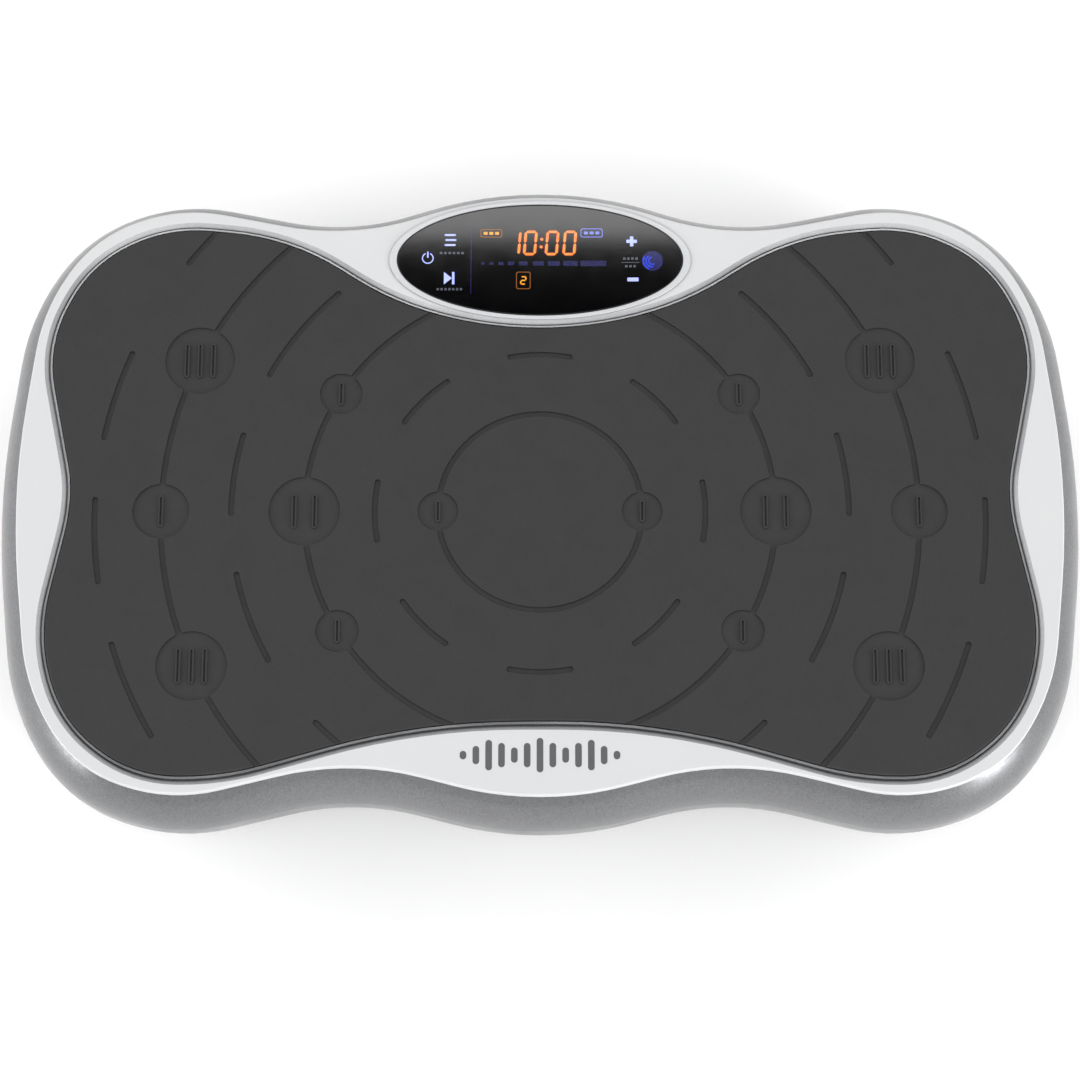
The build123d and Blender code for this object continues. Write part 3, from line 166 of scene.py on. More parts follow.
@dataclass(frozen=True)
class Finish:
    """What a surface is made of and how it was made.

    Attributes:
        name: Name of the material.
        colour: Main colour, sRGB.
        drift: Colour that the surface wanders towards in soft patches, sRGB.
        wear_highlight: Colour of its worn or burnished edges, partly a painted highlight, sRGB.
        roughness: Middle roughness.
        uneven: How far the roughness wanders either way.
        metallic: 1 for bare metal, 0 for a dielectric.
        ior: Index of refraction; metals keep the default.
        grain: Kind of relief.
        pitch: Millimetres from one grain, scratch or rib to the next.
        relief: Millimetres from the tops of the relief to its bottoms.
        patch: Millimetres across the soft patches of colour and gloss.
        wear: Share of the edge colour, wear and painted highlight in one, on a sharp edge.
        edge: Millimetres that the wear and painted highlight reach from an edge.
        painted_shade: Share of painted shade in grooves and inner corners.
        hollow: Millimetres across the grooves that take it.
        along: Direction of scratches and ribs, or of the axis of turning.
        centre: A point on the axis of turning, in millimetres.
        coat: Weight of a clear coat.
        sheen: Weight of the sheen that fine dust or nap gives.
    """

    name: str
    colour: str
    drift: str
    wear_highlight: str
    roughness: float
    uneven: float = 0.05
    metallic: float = 0.0
    ior: float = 1.5
    grain: Grain = Grain.STIPPLE
    pitch: float = 0.8
    relief: float = 0.01
    patch: float = 45.0
    wear: float = 0.35
    edge: float = 0.35
    painted_shade: float = 0.0
    hollow: float = 1.6
    along: Axis = Axis.X
    centre: Triple = (0.0, 0.0, 0.0)
    coat: float = 0.0
    sheen: float = 0.0

    def material(self) -> bpy.types.Material:
        """Builds the material, or finds it if it was built before.

        Returns:
            The Blender material of this finish.
        """
        found = bpy.data.materials.get(self.name)
        if found is not None:
            return found
        made = bpy.data.materials.new(self.name)
        made.use_nodes = True
        made.diffuse_color = linear(self.colour)
        tree = made.node_tree
        tree.nodes.clear()
        place = add_node(tree, "ShaderNodeTexCoord").outputs["Object"]
        height = self.height(tree, place)
        bump = add_node(
            tree,
            "ShaderNodeBump",
            {"Distance": self.relief * MM, "Height": height, "Strength": 1.0},
        )
        shader = add_node(
            tree,
            "ShaderNodeBsdfPrincipled",
            {
                "Base Color": self.tint(tree, place, height),
                "Roughness": self.gloss(tree, place),
                "Metallic": self.metallic,
                "IOR": self.ior,
                "Normal": bump.outputs["Normal"],
                "Coat Weight": self.coat,
                "Coat Roughness": COAT_ROUGHNESS,
                "Sheen Weight": self.sheen,
                "Sheen Roughness": SHEEN_ROUGHNESS,
            },
        )
        self.light_up(tree, place, shader)
        add_node(tree, "ShaderNodeOutputMaterial", {"Surface": shader.outputs["BSDF"]})
        return made

    def light_up(self, tree: Tree, place: Socket, shader: bpy.types.Node) -> None:
        """Sets the light that the surface gives off; most give none."""

    def patches(self, tree: Tree, place: Socket, size: float) -> Socket:
        """Soft patches, as uneven pigment, handling and dust leave them.

        Args:
            tree: The material's tree.
            place: Coordinates in the frame, in metres.
            size: Millimetres across a patch.

        Returns:
            A socket with the patches, 0 to 1.
        """
        noise = add_node(
            tree,
            "ShaderNodeTexNoise",
            {"Vector": place, "Scale": per_mm(size), "Detail": 3.0, "Roughness": 0.55},
        )
        spread = add_node(
            tree,
            "ShaderNodeMapRange",
            {0: noise.outputs["Fac"], 1: 0.32, 2: 0.68},
            interpolation_type="SMOOTHSTEP",
        )
        return spread.outputs[0]

    def height(self, tree: Tree, place: Socket) -> Socket:
        """Relief of the surface.

        Args:
            tree: The material's tree.
            place: Coordinates in the frame, in metres.

        Returns:
            A socket with the height, about 0 to 1.
        """
        scale = per_mm(self.pitch)
        if self.grain is Grain.PEBBLE:
            cells = add_node(
                tree,
                "ShaderNodeTexVoronoi",
                {"Vector": place, "Scale": scale, "Randomness": 0.9},
                feature="SMOOTH_F1",
            )
            return cells.outputs["Distance"]
        if self.grain is Grain.BRUSHED:
            stretch = tuple(1 / SCRATCH_LENGTH if a is self.along else 1.0 for a in Axis)
            drawn = add_node(tree, "ShaderNodeMapping", {"Vector": place, "Scale": stretch})
            lines = add_node(
                tree,
                "ShaderNodeTexNoise",
                {"Vector": drawn.outputs[0], "Scale": scale, "Detail": 2.0},
            )
            return lines.outputs["Fac"]
        if self.grain in (Grain.RINGS, Grain.BANDS):
            moved = add_node(
                tree,
                "ShaderNodeMapping",
                {"Vector": place, "Location": tuple(-c * MM for c in self.centre)},
            )
            rings = self.grain is Grain.RINGS
            # A wave texture's period is 2 pi / 20 of a unit at a scale of 1.
            wave = add_node(
                tree,
                "ShaderNodeTexWave",
                {"Vector": moved.outputs[0], "Scale": scale * math.tau / 20, "Distortion": 0.4},
                wave_type="RINGS" if rings else "BANDS",
                **{"rings_direction" if rings else "bands_direction": self.along.value},
            )
            return wave.outputs["Fac"]
        if self.grain is Grain.TRACKS:
            cells = add_node(
                tree,
                "ShaderNodeTexVoronoi",
                {"Vector": place, "Scale": scale, "Randomness": 0.35},
                distance="MANHATTAN",
                feature="F2",
            )
            raised = add_node(
                tree, "ShaderNodeMapRange", {0: cells.outputs["Distance"], 1: 0.62, 2: 0.66}
            )
            return raised.outputs[0]
        noise = add_node(
            tree,
            "ShaderNodeTexNoise",
            {"Vector": place, "Scale": scale, "Detail": 4.0, "Roughness": 0.6},
        )
        return noise.outputs["Fac"]

    def tint(self, tree: Tree, place: Socket, height: Socket) -> Socket:
        """Colour of the surface: its two tones in patches, then wear and painted highlight on its
        edges, then painted shade in grooves.

        Args:
            tree: The material's tree.
            place: Coordinates in the frame, in metres.
            height: The relief, 0 to 1.

        Returns:
            A colour socket.
        """
        both = add_node(
            tree,
            "ShaderNodeMath",
            {0: self.patches(tree, place, self.patch), 1: PATCH_SHARE, 2: height},
            operation="MULTIPLY_ADD",
        )
        share = add_node(tree, "ShaderNodeMapRange", {0: both.outputs[0], 1: 0.2, 2: 0.95})
        toned = add_node(
            tree,
            "ShaderNodeMix",
            {0: share.outputs[0], 6: linear(self.colour), 7: linear(self.drift)},
            data_type="RGBA",
        )
        # Sharp edges take a colour that is partly wear, partly a painted highlight.
        wear_highlight = add_node(
            tree,
            "ShaderNodeMix",
            {0: self.edges(tree), 6: toned.outputs[2], 7: linear(self.wear_highlight)},
            data_type="RGBA",
        )
        if not self.painted_shade:
            return wear_highlight.outputs[2]
        # Grooves and inner corners are darkened by painted shade.
        shaded = add_node(
            tree,
            "ShaderNodeMix",
            {0: self.painted_shade_share(tree), 6: wear_highlight.outputs[2], 7: linear(PAINTED_SHADE)},
            data_type="RGBA",
        )
        return shaded.outputs[2]

    def edges(self, tree: Tree) -> Socket:
        """Finds sharp edges by how far a rounded normal leans from the true one.

        Args:
            tree: The material's tree.

        Returns:
            A socket with the share of edge colour, wear and painted highlight in one.
        """
        rounded = add_node(tree, "ShaderNodeBevel", {"Radius": self.edge * MM}, samples=4)
        true = add_node(tree, "ShaderNodeNewGeometry")
        lean = add_node(
            tree,
            "ShaderNodeVectorMath",
            {0: rounded.outputs[0], 1: true.outputs["Normal"]},
            operation="DOT_PRODUCT",
        )
        share = add_node(
            tree,
            "ShaderNodeMapRange",
            {0: lean.outputs["Value"], 1: 0.985, 2: 0.8, 3: 0.0, 4: self.wear},
        )
        return share.outputs[0]

    def painted_shade_share(self, tree: Tree) -> Socket:
        """Finds grooves and inner corners, for the painted shade that darkens them.

        Args:
            tree: The material's tree.

        Returns:
            A socket with the share of painted shade.
        """
        open_sky = add_node(
            tree, "ShaderNodeAmbientOcclusion", {"Distance": self.hollow * MM}, samples=6
        )
        share = add_node(
            tree,
            "ShaderNodeMapRange",
            {0: open_sky.outputs["AO"], 1: 0.92, 2: 0.35, 3: 0.0, 4: self.painted_shade},
        )
        return share.outputs[0]

    def gloss(self, tree: Tree, place: Socket) -> Socket:
        """Roughness that wanders a little over the surface, as handling and dust leave it.

        Args:
            tree: The material's tree.
            place: Coordinates in the frame, in metres.

        Returns:
            A roughness socket.
        """
        wander = add_node(
            tree,
            "ShaderNodeMapRange",
            {
                0: self.patches(tree, place, self.patch * FINEST_PATCH),
                3: self.roughness - self.uneven,
                4: self.roughness + self.uneven,
            },
        )
        return wander.outputs[0]


@dataclass(frozen=True)
class WhiteCoverAbs(Finish):
    """ABS moulded in a spark-eroded mould: satin white, its highlights broken by a fine grain."""

    # The grain is 0.15 mm in the mould; it is drawn at 0.7 mm so that it shows at all.
    name: str = "abs_white_satin"
    colour: str = "#C5C5C6"
    drift: str = "#C1C2C3"
    wear_highlight: str = "#E9E9E9"
    roughness: float = 0.42
    ior: float = 1.53
    pitch: float = 0.7
    relief: float = 0.006
    patch: float = 90.0
    wear: float = 0.5
    # Painted shade in the cover's grooves and inner corners.
    painted_shade: float = 0.75


@dataclass(frozen=True)
class SilverPaintedAbs(Finish):
    """ABS with a sprayed silver coat: aluminium flakes under a satin clear coat, so it darkens
    away from the light like metal, with the slight waviness of a sprayed film."""

    # Flakes are 0.05 mm; they are drawn at 0.6 mm, only a shade apart, so that they show.
    name: str = "abs_silver_paint"
    colour: str = "#656567"
    drift: str = "#606163"
    wear_highlight: str = "#858687"
    roughness: float = 0.33
    metallic: float = 0.8
    pitch: float = 0.6
    relief: float = 0.008
    patch: float = 120.0
    wear: float = 0.2
    # Painted shade in the skirt's grooves and inner corners.
    painted_shade: float = 0.5
    coat: float = 0.2

    def tint(self, tree: Tree, place: Socket, height: Socket) -> Socket:
        """Colour with each flake a little lighter or darker than the next.

        Args:
            tree: The material's tree.
            place: Coordinates in the frame, in metres.
            height: The relief, 0 to 1.

        Returns:
            A colour socket.
        """
        plain = super().tint(tree, place, height)
        flakes = add_node(
            tree, "ShaderNodeTexVoronoi", {"Vector": place, "Scale": per_mm(self.pitch)}
        )
        glint = add_node(
            tree, "ShaderNodeMapRange", {0: flakes.outputs["Color"], 3: 0.0, 4: FLAKE_GLINT}
        )
        mixed = add_node(
            tree,
            "ShaderNodeMix",
            {0: glint.outputs[0], 6: plain, 7: linear(FLAKE)},
            data_type="RGBA",
        )
        return mixed.outputs[2]


@dataclass(frozen=True)
class SilverTrimPaint(SilverPaintedAbs):
    """A lighter silver than the skirt's, sprayed by mask on the bead, the groove and the slope
    round the mat, with painted shade lying dark in the groove."""

    name: str = "abs_silver_trim"
    colour: str = "#9A9B9D"
    drift: str = "#929395"
    wear_highlight: str = "#B4B5B7"
    # Painted shade in the groove round the mat.
    painted_shade: float = 0.85


@dataclass(frozen=True)
class MatRubber(Finish):
    """Moulded nitrile rubber: matte charcoal with a pebbled grain and a faint grey bloom."""

    # The pebbles are 0.3 mm; they are drawn at 0.9 mm so that they show.
    name: str = "nitrile_rubber_charcoal"
    colour: str = "#1B1B1C"
    drift: str = "#212121"
    wear_highlight: str = "#434344"
    roughness: float = 0.7
    uneven: float = 0.02
    ior: float = 1.52
    grain: Grain = Grain.PEBBLE
    pitch: float = 0.9
    relief: float = 0.05
    patch: float = 25.0
    # Painted shade along the inner corners of the mat's channels.
    painted_shade: float = 0.95
    hollow: float = 0.5
    sheen: float = 0.02


@dataclass(frozen=True)
class FootRubber(Finish):
    """Black moulded rubber: dull, slightly dusty where it meets the floor."""

    # The skin of the rubber has pores of 0.2 mm; they are drawn at 1 mm so that they show.
    name: str = "rubber_foot_black"
    colour: str = "#232324"
    drift: str = "#2D2D2E"
    wear_highlight: str = "#454546"
    roughness: float = 0.78
    ior: float = 1.52
    pitch: float = 1.0
    relief: float = 0.04
    patch: float = 12.0
    sheen: float = 0.05


@dataclass(frozen=True)
class BeltRubber(Finish):
    """Ribbed neoprene belt: ribs run along it, so they lie side by side across its width."""

    # The ribs are 1.6 mm apart, as on a small ribbed belt.
    name: str = "neoprene_belt_ribbed"
    colour: str = "#1E1E1F"
    drift: str = "#272728"
    wear_highlight: str = "#3A3A3B"
    roughness: float = 0.62
    grain: Grain = Grain.BANDS
    along: Axis = Axis.Y
    pitch: float = 1.6
    relief: float = 0.25
    patch: float = 14.0


@dataclass(frozen=True)
class BlackLensAcrylic(Finish):
    """Smoked acrylic, polished: nearly black, so that only its reflections and lamps show, with
    faint wipe marks in the gloss."""

    # Wipe marks are 0.05 mm wide; they are drawn at 0.5 mm so that they show.
    name: str = "acrylic_lens_smoked"
    colour: str = "#020203"
    drift: str = "#030304"
    wear_highlight: str = "#151518"
    roughness: float = 0.06
    uneven: float = 0.005
    ior: float = 1.49
    grain: Grain = Grain.BRUSHED
    pitch: float = 0.5
    relief: float = 0.0006
    patch: float = 36.0
    wear: float = 0.2


@dataclass(frozen=True)
class BezelAbs(Finish):
    """ABS moulded in a polished mould: light grey, glossier than the cover round it."""

    # The mould is polished: its waviness is drawn at 0.9 mm, very shallow.
    name: str = "abs_bezel_light_grey"
    colour: str = "#BDBEC0"
    drift: str = "#B5B6B9"
    wear_highlight: str = "#D8D9DA"
    roughness: float = 0.24
    uneven: float = 0.04
    ior: float = 1.53
    pitch: float = 0.9
    relief: float = 0.003
    patch: float = 30.0
    # Painted shade in the bezel's grooves and inner corners.
    painted_shade: float = 0.6


@dataclass(frozen=True)
class BlackAbs(Finish):
    """Flame-retardant ABS, moulded: black with a satin texture that greys on its edges."""

    # The grain is 0.15 mm; it is drawn at 0.7 mm so that it shows.
    name: str = "abs_black_textured"
    colour: str = "#1B1B1C"
    drift: str = "#222223"
    wear_highlight: str = "#3E3E40"
    roughness: float = 0.48
    ior: float = 1.53
    pitch: float = 0.7
    relief: float = 0.02
    patch: float = 16.0


@dataclass(frozen=True)
class TrayAbs(Finish):
    """ABS, moulded with a coarse grain for an underside: dark grey and matte."""

    # The grain is 0.4 mm; it is drawn at 1.2 mm so that it shows.
    name: str = "abs_tray_dark_grey"
    colour: str = "#3A3B3D"
    drift: str = "#424345"
    wear_highlight: str = "#5C5D5F"
    roughness: float = 0.58
    ior: float = 1.53
    grain: Grain = Grain.PEBBLE
    pitch: float = 1.2
    relief: float = 0.06
    patch: float = 60.0


@dataclass(frozen=True)
class SolderMask(Finish):
    """Glass-epoxy board under green solder mask: glossy, its tracks a shade lighter."""

    # Tracks and pads of a simple power board are about 3 mm apart.
    name: str = "fr4_green_mask"
    colour: str = "#0F4A26"
    drift: str = "#0C4022"
    wear_highlight: str = "#6E7A4A"
    roughness: float = 0.3
    grain: Grain = Grain.TRACKS
    pitch: float = 3.2
    relief: float = 0.03
    patch: float = 20.0

    def tint(self, tree: Tree, place: Socket, height: Socket) -> Socket:
        """Colour of the mask, lighter where copper lies under it.

        Args:
            tree: The material's tree.
            place: Coordinates in the frame, in metres.
            height: The relief, 0 to 1.

        Returns:
            A colour socket.
        """
        plain = super().tint(tree, place, height)
        copper = add_node(
            tree,
            "ShaderNodeMix",
            {0: height, 6: plain, 7: linear(MASKED_COPPER)},
            data_type="RGBA",
        )
        return copper.outputs[2]


@dataclass(frozen=True)
class DigitModule(Finish):
    """Smoked resin face of a digit module: dark and fairly glossy."""

    # The resin is smooth; its slight ripple is drawn at 0.6 mm so that it shows.
    name: str = "resin_digit_module"
    colour: str = "#141416"
    drift: str = "#1C1C1F"
    wear_highlight: str = "#3A3A3D"
    roughness: float = 0.22
    ior: float = 1.54
    pitch: float = 0.6
    relief: float = 0.004
    patch: float = 10.0


@dataclass(frozen=True)
class LedResin(Finish):
    """Clear-milky epoxy of a lamp: smooth, a little blue."""

    # The resin is smooth; its slight ripple keeps the usual 0.8 mm.
    name: str = "epoxy_led"
    colour: str = "#C9CEDA"
    drift: str = "#B9BFCE"
    wear_highlight: str = "#E6E9F0"
    roughness: float = 0.18
    ior: float = 1.54
    relief: float = 0.005
    patch: float = 4.0


@dataclass(frozen=True)
class SpringSteel(Finish):
    """Drawn spring steel: bright, with drawing lines."""

    # Drawing lines are 0.02 mm wide; they are drawn at 0.3 mm so that they show.
    name: str = "spring_steel_bright"
    colour: str = "#B4B5B7"
    drift: str = "#A3A4A8"
    wear_highlight: str = "#DADADA"
    roughness: float = 0.3
    metallic: float = 1.0
    grain: Grain = Grain.BRUSHED
    along: Axis = Axis.Z
    pitch: float = 0.3
    relief: float = 0.004
    patch: float = 5.0


@dataclass(frozen=True)
class ZincSteel(Finish):
    """Rolled steel, zinc plated: bluish grey with yellowish clouds and rolling lines."""

    # Rolling lines are 0.05 mm wide; they are drawn at 0.4 mm so that they show.
    name: str = "steel_zinc_plated"
    colour: str = "#A9AEB4"
    drift: str = "#B5B2A2"
    wear_highlight: str = "#D4D6D8"
    roughness: float = 0.36
    uneven: float = 0.1
    metallic: float = 1.0
    grain: Grain = Grain.BRUSHED
    pitch: float = 0.4
    relief: float = 0.006
    patch: float = 18.0


@dataclass(frozen=True)
class PowderCoat(Finish):
    """Steel with black powder coat: the film's orange-peel waviness, chipped grey on edges."""

    # Orange peel really has waves of about 1.4 mm.
    name: str = "powder_coat_black"
    colour: str = "#202123"
    drift: str = "#28292B"
    wear_highlight: str = "#6A6B6D"
    roughness: float = 0.42
    pitch: float = 1.4
    relief: float = 0.05
    patch: float = 30.0


@dataclass(frozen=True)
class PaintedCasting(Finish):
    """Sand-cast iron, dip painted: coarse sand texture and rubbed high spots."""

    # The sand grains are 0.4 mm; they are drawn at 1.6 mm so that they show.
    name: str = "cast_iron_painted"
    colour: str = "#55575A"
    drift: str = "#484A4D"
    wear_highlight: str = "#8E8F91"
    roughness: float = 0.6
    metallic: float = 0.3
    pitch: float = 1.6
    relief: float = 0.18
    patch: float = 9.0
    wear: float = 0.6


@dataclass(frozen=True)
class GroundSteel(Finish):
    """Bearing steel, ground: bright, with fine grinding lines round the part."""

    # Grinding lines are 0.01 mm wide; they are drawn at 0.45 mm so that they show.
    name: str = "steel_ground_bright"
    colour: str = "#BDBEC0"
    drift: str = "#ABACB0"
    wear_highlight: str = "#E2E2E3"
    roughness: float = 0.2
    uneven: float = 0.06
    metallic: float = 1.0
    grain: Grain = Grain.BANDS
    along: Axis = Axis.Y
    pitch: float = 0.45
    relief: float = 0.003
    patch: float = 7.0


@dataclass(frozen=True)
class TurnedAluminium(Finish):
    """Aluminium, turned on a lathe: silvery, with the tool's rings about the shaft's axis."""

    # The feed is 0.15 mm a turn; it is drawn at 0.6 mm so that it shows.
    name: str = "aluminium_turned"
    colour: str = "#C6C7C9"
    drift: str = "#B6B7BA"
    wear_highlight: str = "#E4E4E4"
    roughness: float = 0.3
    metallic: float = 1.0
    grain: Grain = Grain.RINGS
    along: Axis = Axis.Y
    centre: Triple = (-48.0, 44.0, 62.0)
    pitch: float = 0.6
    relief: float = 0.006
    patch: float = 14.0


@dataclass(frozen=True)
class ExtrudedAluminium(Finish):
    """Aluminium, extruded: pale and satin, with die lines along its length."""

    # Die lines are 0.1 mm wide; they are drawn at 0.5 mm so that they show.
    name: str = "aluminium_extruded"
    colour: str = "#BFC1C3"
    drift: str = "#AEB0B3"
    wear_highlight: str = "#E0E1E2"
    roughness: float = 0.34
    metallic: float = 1.0
    grain: Grain = Grain.BRUSHED
    along: Axis = Axis.Y
    pitch: float = 0.5
    relief: float = 0.008
    patch: float = 16.0


@dataclass(frozen=True)
class Ferrite(Finish):
    """Pressed and sintered ferrite: charcoal, dry and slightly porous."""

    # Pores are 0.05 mm; they are drawn at 0.9 mm so that they show.
    name: str = "ferrite_sintered"
    colour: str = "#333437"
    drift: str = "#2A2B2D"
    wear_highlight: str = "#505156"
    roughness: float = 0.66
    pitch: float = 0.9
    relief: float = 0.05
    patch: float = 8.0


@dataclass(frozen=True)
class CopperWinding(Finish):
    """Enamelled copper wire, wound: warm brown-orange, glossy, wires side by side."""

    # The wire is 0.9 mm thick over its enamel.
    name: str = "copper_winding_enamelled"
    colour: str = "#A8582E"
    drift: str = "#8F4524"
    wear_highlight: str = "#D08A55"
    roughness: float = 0.32
    metallic: float = 0.9
    grain: Grain = Grain.BANDS
    pitch: float = 0.9
    relief: float = 0.22
    patch: float = 7.0
    coat: float = 0.4


@dataclass(frozen=True)
class ShrinkSleeve(Finish):
    """PVC sleeve shrunk on a capacitor: dark blue, glossy, lightly wrinkled."""

    # Wrinkles of the sleeve are about 3 mm apart.
    name: str = "pvc_shrink_sleeve"
    colour: str = "#1A2140"
    drift: str = "#151B36"
    wear_highlight: str = "#39436E"
    roughness: float = 0.26
    pitch: float = 3.0
    relief: float = 0.04
    patch: float = 9.0


@dataclass(frozen=True)
class NickelBrass(Finish):
    """Brass pin, nickel plated: pale gold where the plating has rubbed."""

    # Polishing lines are 0.02 mm wide; they are drawn at 0.3 mm so that they show.
    name: str = "brass_nickel_plated"
    colour: str = "#C9C2A8"
    drift: str = "#BFB185"
    wear_highlight: str = "#D6B96A"
    roughness: float = 0.24
    metallic: float = 1.0
    grain: Grain = Grain.BRUSHED
    along: Axis = Axis.Y
    pitch: float = 0.3
    relief: float = 0.003
    patch: float = 4.0
    wear: float = 0.8


@dataclass(frozen=True)
class PrintedInk(Finish):
    """Pad-printed ink on the cover: dark grey, a hair duller than the plastic beside it."""

    # The pad leaves dots of 0.1 mm; they are drawn at 0.7 mm so that they show.
    name: str = "ink_dark_grey"
    colour: str = "#4A4B4D"
    drift: str = "#525355"
    wear_highlight: str = "#6A6B6D"
    roughness: float = 0.5
    pitch: float = 0.7
    patch: float = 12.0


@dataclass(frozen=True)
class DimPrint(Finish):
    """Silk-screened captions under the lens: a dim grey that barely shows through."""

    # The screen has threads of 0.1 mm; they are drawn at 0.6 mm so that they show.
    name: str = "ink_caption_dim"
    colour: str = "#4C4F5C"
    drift: str = "#41444F"
    wear_highlight: str = "#4C4F5C"
    roughness: float = 0.12
    uneven: float = 0.01
    pitch: float = 0.6
    relief: float = 0.002
    patch: float = 5.0


@dataclass(frozen=True)
class LampGlow(Finish):
    """A lit mark: light-diffusing film over a lamp, a little brighter near the lamp's middle.
    The film is as glossy as the lens that it lies in.

    Attributes:
        strength: How strongly the film shines.
        hot: Colour of the brightest spots, sRGB.
    """

    strength: float = 1.0
    hot: str = "#FFFFFF"
    drift: str = "#101010"
    wear_highlight: str = "#202020"
    roughness: float = 0.08
    uneven: float = 0.01
    pitch: float = 0.5
    relief: float = 0.001
    patch: float = 2.5

    def light_up(self, tree: Tree, place: Socket, shader: bpy.types.Node) -> None:
        """Gives the film its light, in soft spots of the lamp's colour and the hot colour.

        Args:
            tree: The material's tree.
            place: Coordinates in the frame, in metres.
            shader: The principled shader.
        """
        light = add_node(
            tree,
            "ShaderNodeMix",
            {
                0: self.patches(tree, place, self.patch),
                6: linear(self.colour),
                7: linear(self.hot),
            },
            data_type="RGBA",
        )
        tree.links.new(light.outputs[2], shader.inputs["Emission Color"])
        shader.inputs["Emission Strength"].default_value = self.strength


ORANGE_LAMP = LampGlow("lamp_orange", "#F9701C", hot="#FF9E48", strength=1.0)
ORANGE_HALO = LampGlow("lamp_orange_halo", "#5A1404", hot="#701B06", strength=0.75)
AMBER_LAMP = LampGlow("lamp_amber", "#E08A1E", hot="#F7B23B", strength=0.85)
AMBER_FRAME = LampGlow("lamp_amber_frame", "#7E470D", hot="#945514", strength=0.8)
BLUE_LAMP = LampGlow("lamp_blue_white", "#9AA6FF", hot="#C3CBFF", strength=0.95)
BLUE_SIGN = LampGlow("lamp_blue_sign", "#6670D8", hot="#8790F2", strength=0.8)
DEEP_BLUE = LampGlow("lamp_deep_blue", "#1E35B8", hot="#2C4BE0", strength=0.8)
FAINT_BLUE = LampGlow("lamp_faint_blue", "#12124A", hot="#1B1B63", strength=0.8)
UNLIT_BLUE = LampGlow("lamp_unlit_blue", "#121246", hot="#19195A", strength=0.6)


# ---------------- flat marks
def bar(
    middle: Pair, size: Pair, radius: float, steps: int = 5
) -> Outline:
    """Outline of a bar with rounded ends or corners.

    Args:
        middle: Its middle, in millimetres.
        size: Its length and depth.
        radius: Radius of its corners.
        steps: Straight pieces in each corner.

    Returns:
        Points round it, anticlockwise.
    """
    half_x, half_y = size[0] / 2 - radius, size[1] / 2 - radius
    points: Outline = []
    for quarter, (sx, sy) in enumerate(((1, 1), (-1, 1), (-1, -1), (1, -1))):
        for k in range(steps + 1):
            a = math.radians(90 * quarter + 90 * k / steps)
            points.append(
                (
                    middle[0] + sx * half_x + radius * math.cos(a),
                    middle[1] + sy * half_y + radius * math.sin(a),
                )
            )
    return points


def arc_band(
    middle: Pair, radius: float, width: float, first: float, last: float
) -> Outline:
    """Outline of an arc drawn with a pen.

    Args:
        middle: Centre of the arc, in millimetres.
        radius: Radius of the pen's line.
        width: Width of the pen.
        first: Angle that it starts at, in degrees.
        last: Angle that it ends at.

    Returns:
        Points round it.
    """
    steps = 28
    angles = [math.radians(first + (last - first) * k / steps) for k in range(steps + 1)]
    rims = [(radius + width / 2, angles), (radius - width / 2, angles[::-1])]
    return [
        (middle[0] + r * math.cos(a), middle[1] + r * math.sin(a)) for r, turn in rims for a in turn
    ]


# Segments that each digit lights, named clockwise from the top, with g in the middle.
LIT_SEGMENTS = {"0": "abcdef", "1": "bc", "2": "abged"}


def digit(
    symbol: str, middle: Pair, size: Pair, pen: float, slant: float
) -> list[Outline]:
    """Outlines of a seven-segment digit's lit segments.

    Args:
        symbol: The digit.
        middle: Its middle, in millimetres.
        size: Its width and height between the segments' middle lines.
        pen: Width of a segment.
        slant: Millimetres that it leans to the right for each millimetre up.

    Returns:
        One outline for each segment.
    """
    w, h = size[0] / 2, size[1] / 2
    ends = {
        "a": ((-w, h), (w, h)),
        "b": ((w, h), (w, 0)),
        "c": ((w, 0), (w, -h)),
        "d": ((w, -h), (-w, -h)),
        "e": ((-w, -h), (-w, 0)),
        "f": ((-w, 0), (-w, h)),
        "g": ((-w, 0), (w, 0)),
    }
    outlines = []
    for letter in LIT_SEGMENTS[symbol]:
        start, end = (Vector(p) for p in ends[letter])
        run = (end - start).normalized()
        side = Vector((-run.y, run.x)) * pen / 2
        gap = run * pen * 0.12
        tip = run * pen / 2
        points = [
            start + gap,
            start + gap + tip - side,
            end - gap - tip - side,
            end - gap,
            end - gap - tip + side,
            start + gap + tip + side,
        ]
        outlines.append([(middle[0] + p.x + slant * p.y, middle[1] + p.y) for p in points])
    return outlines


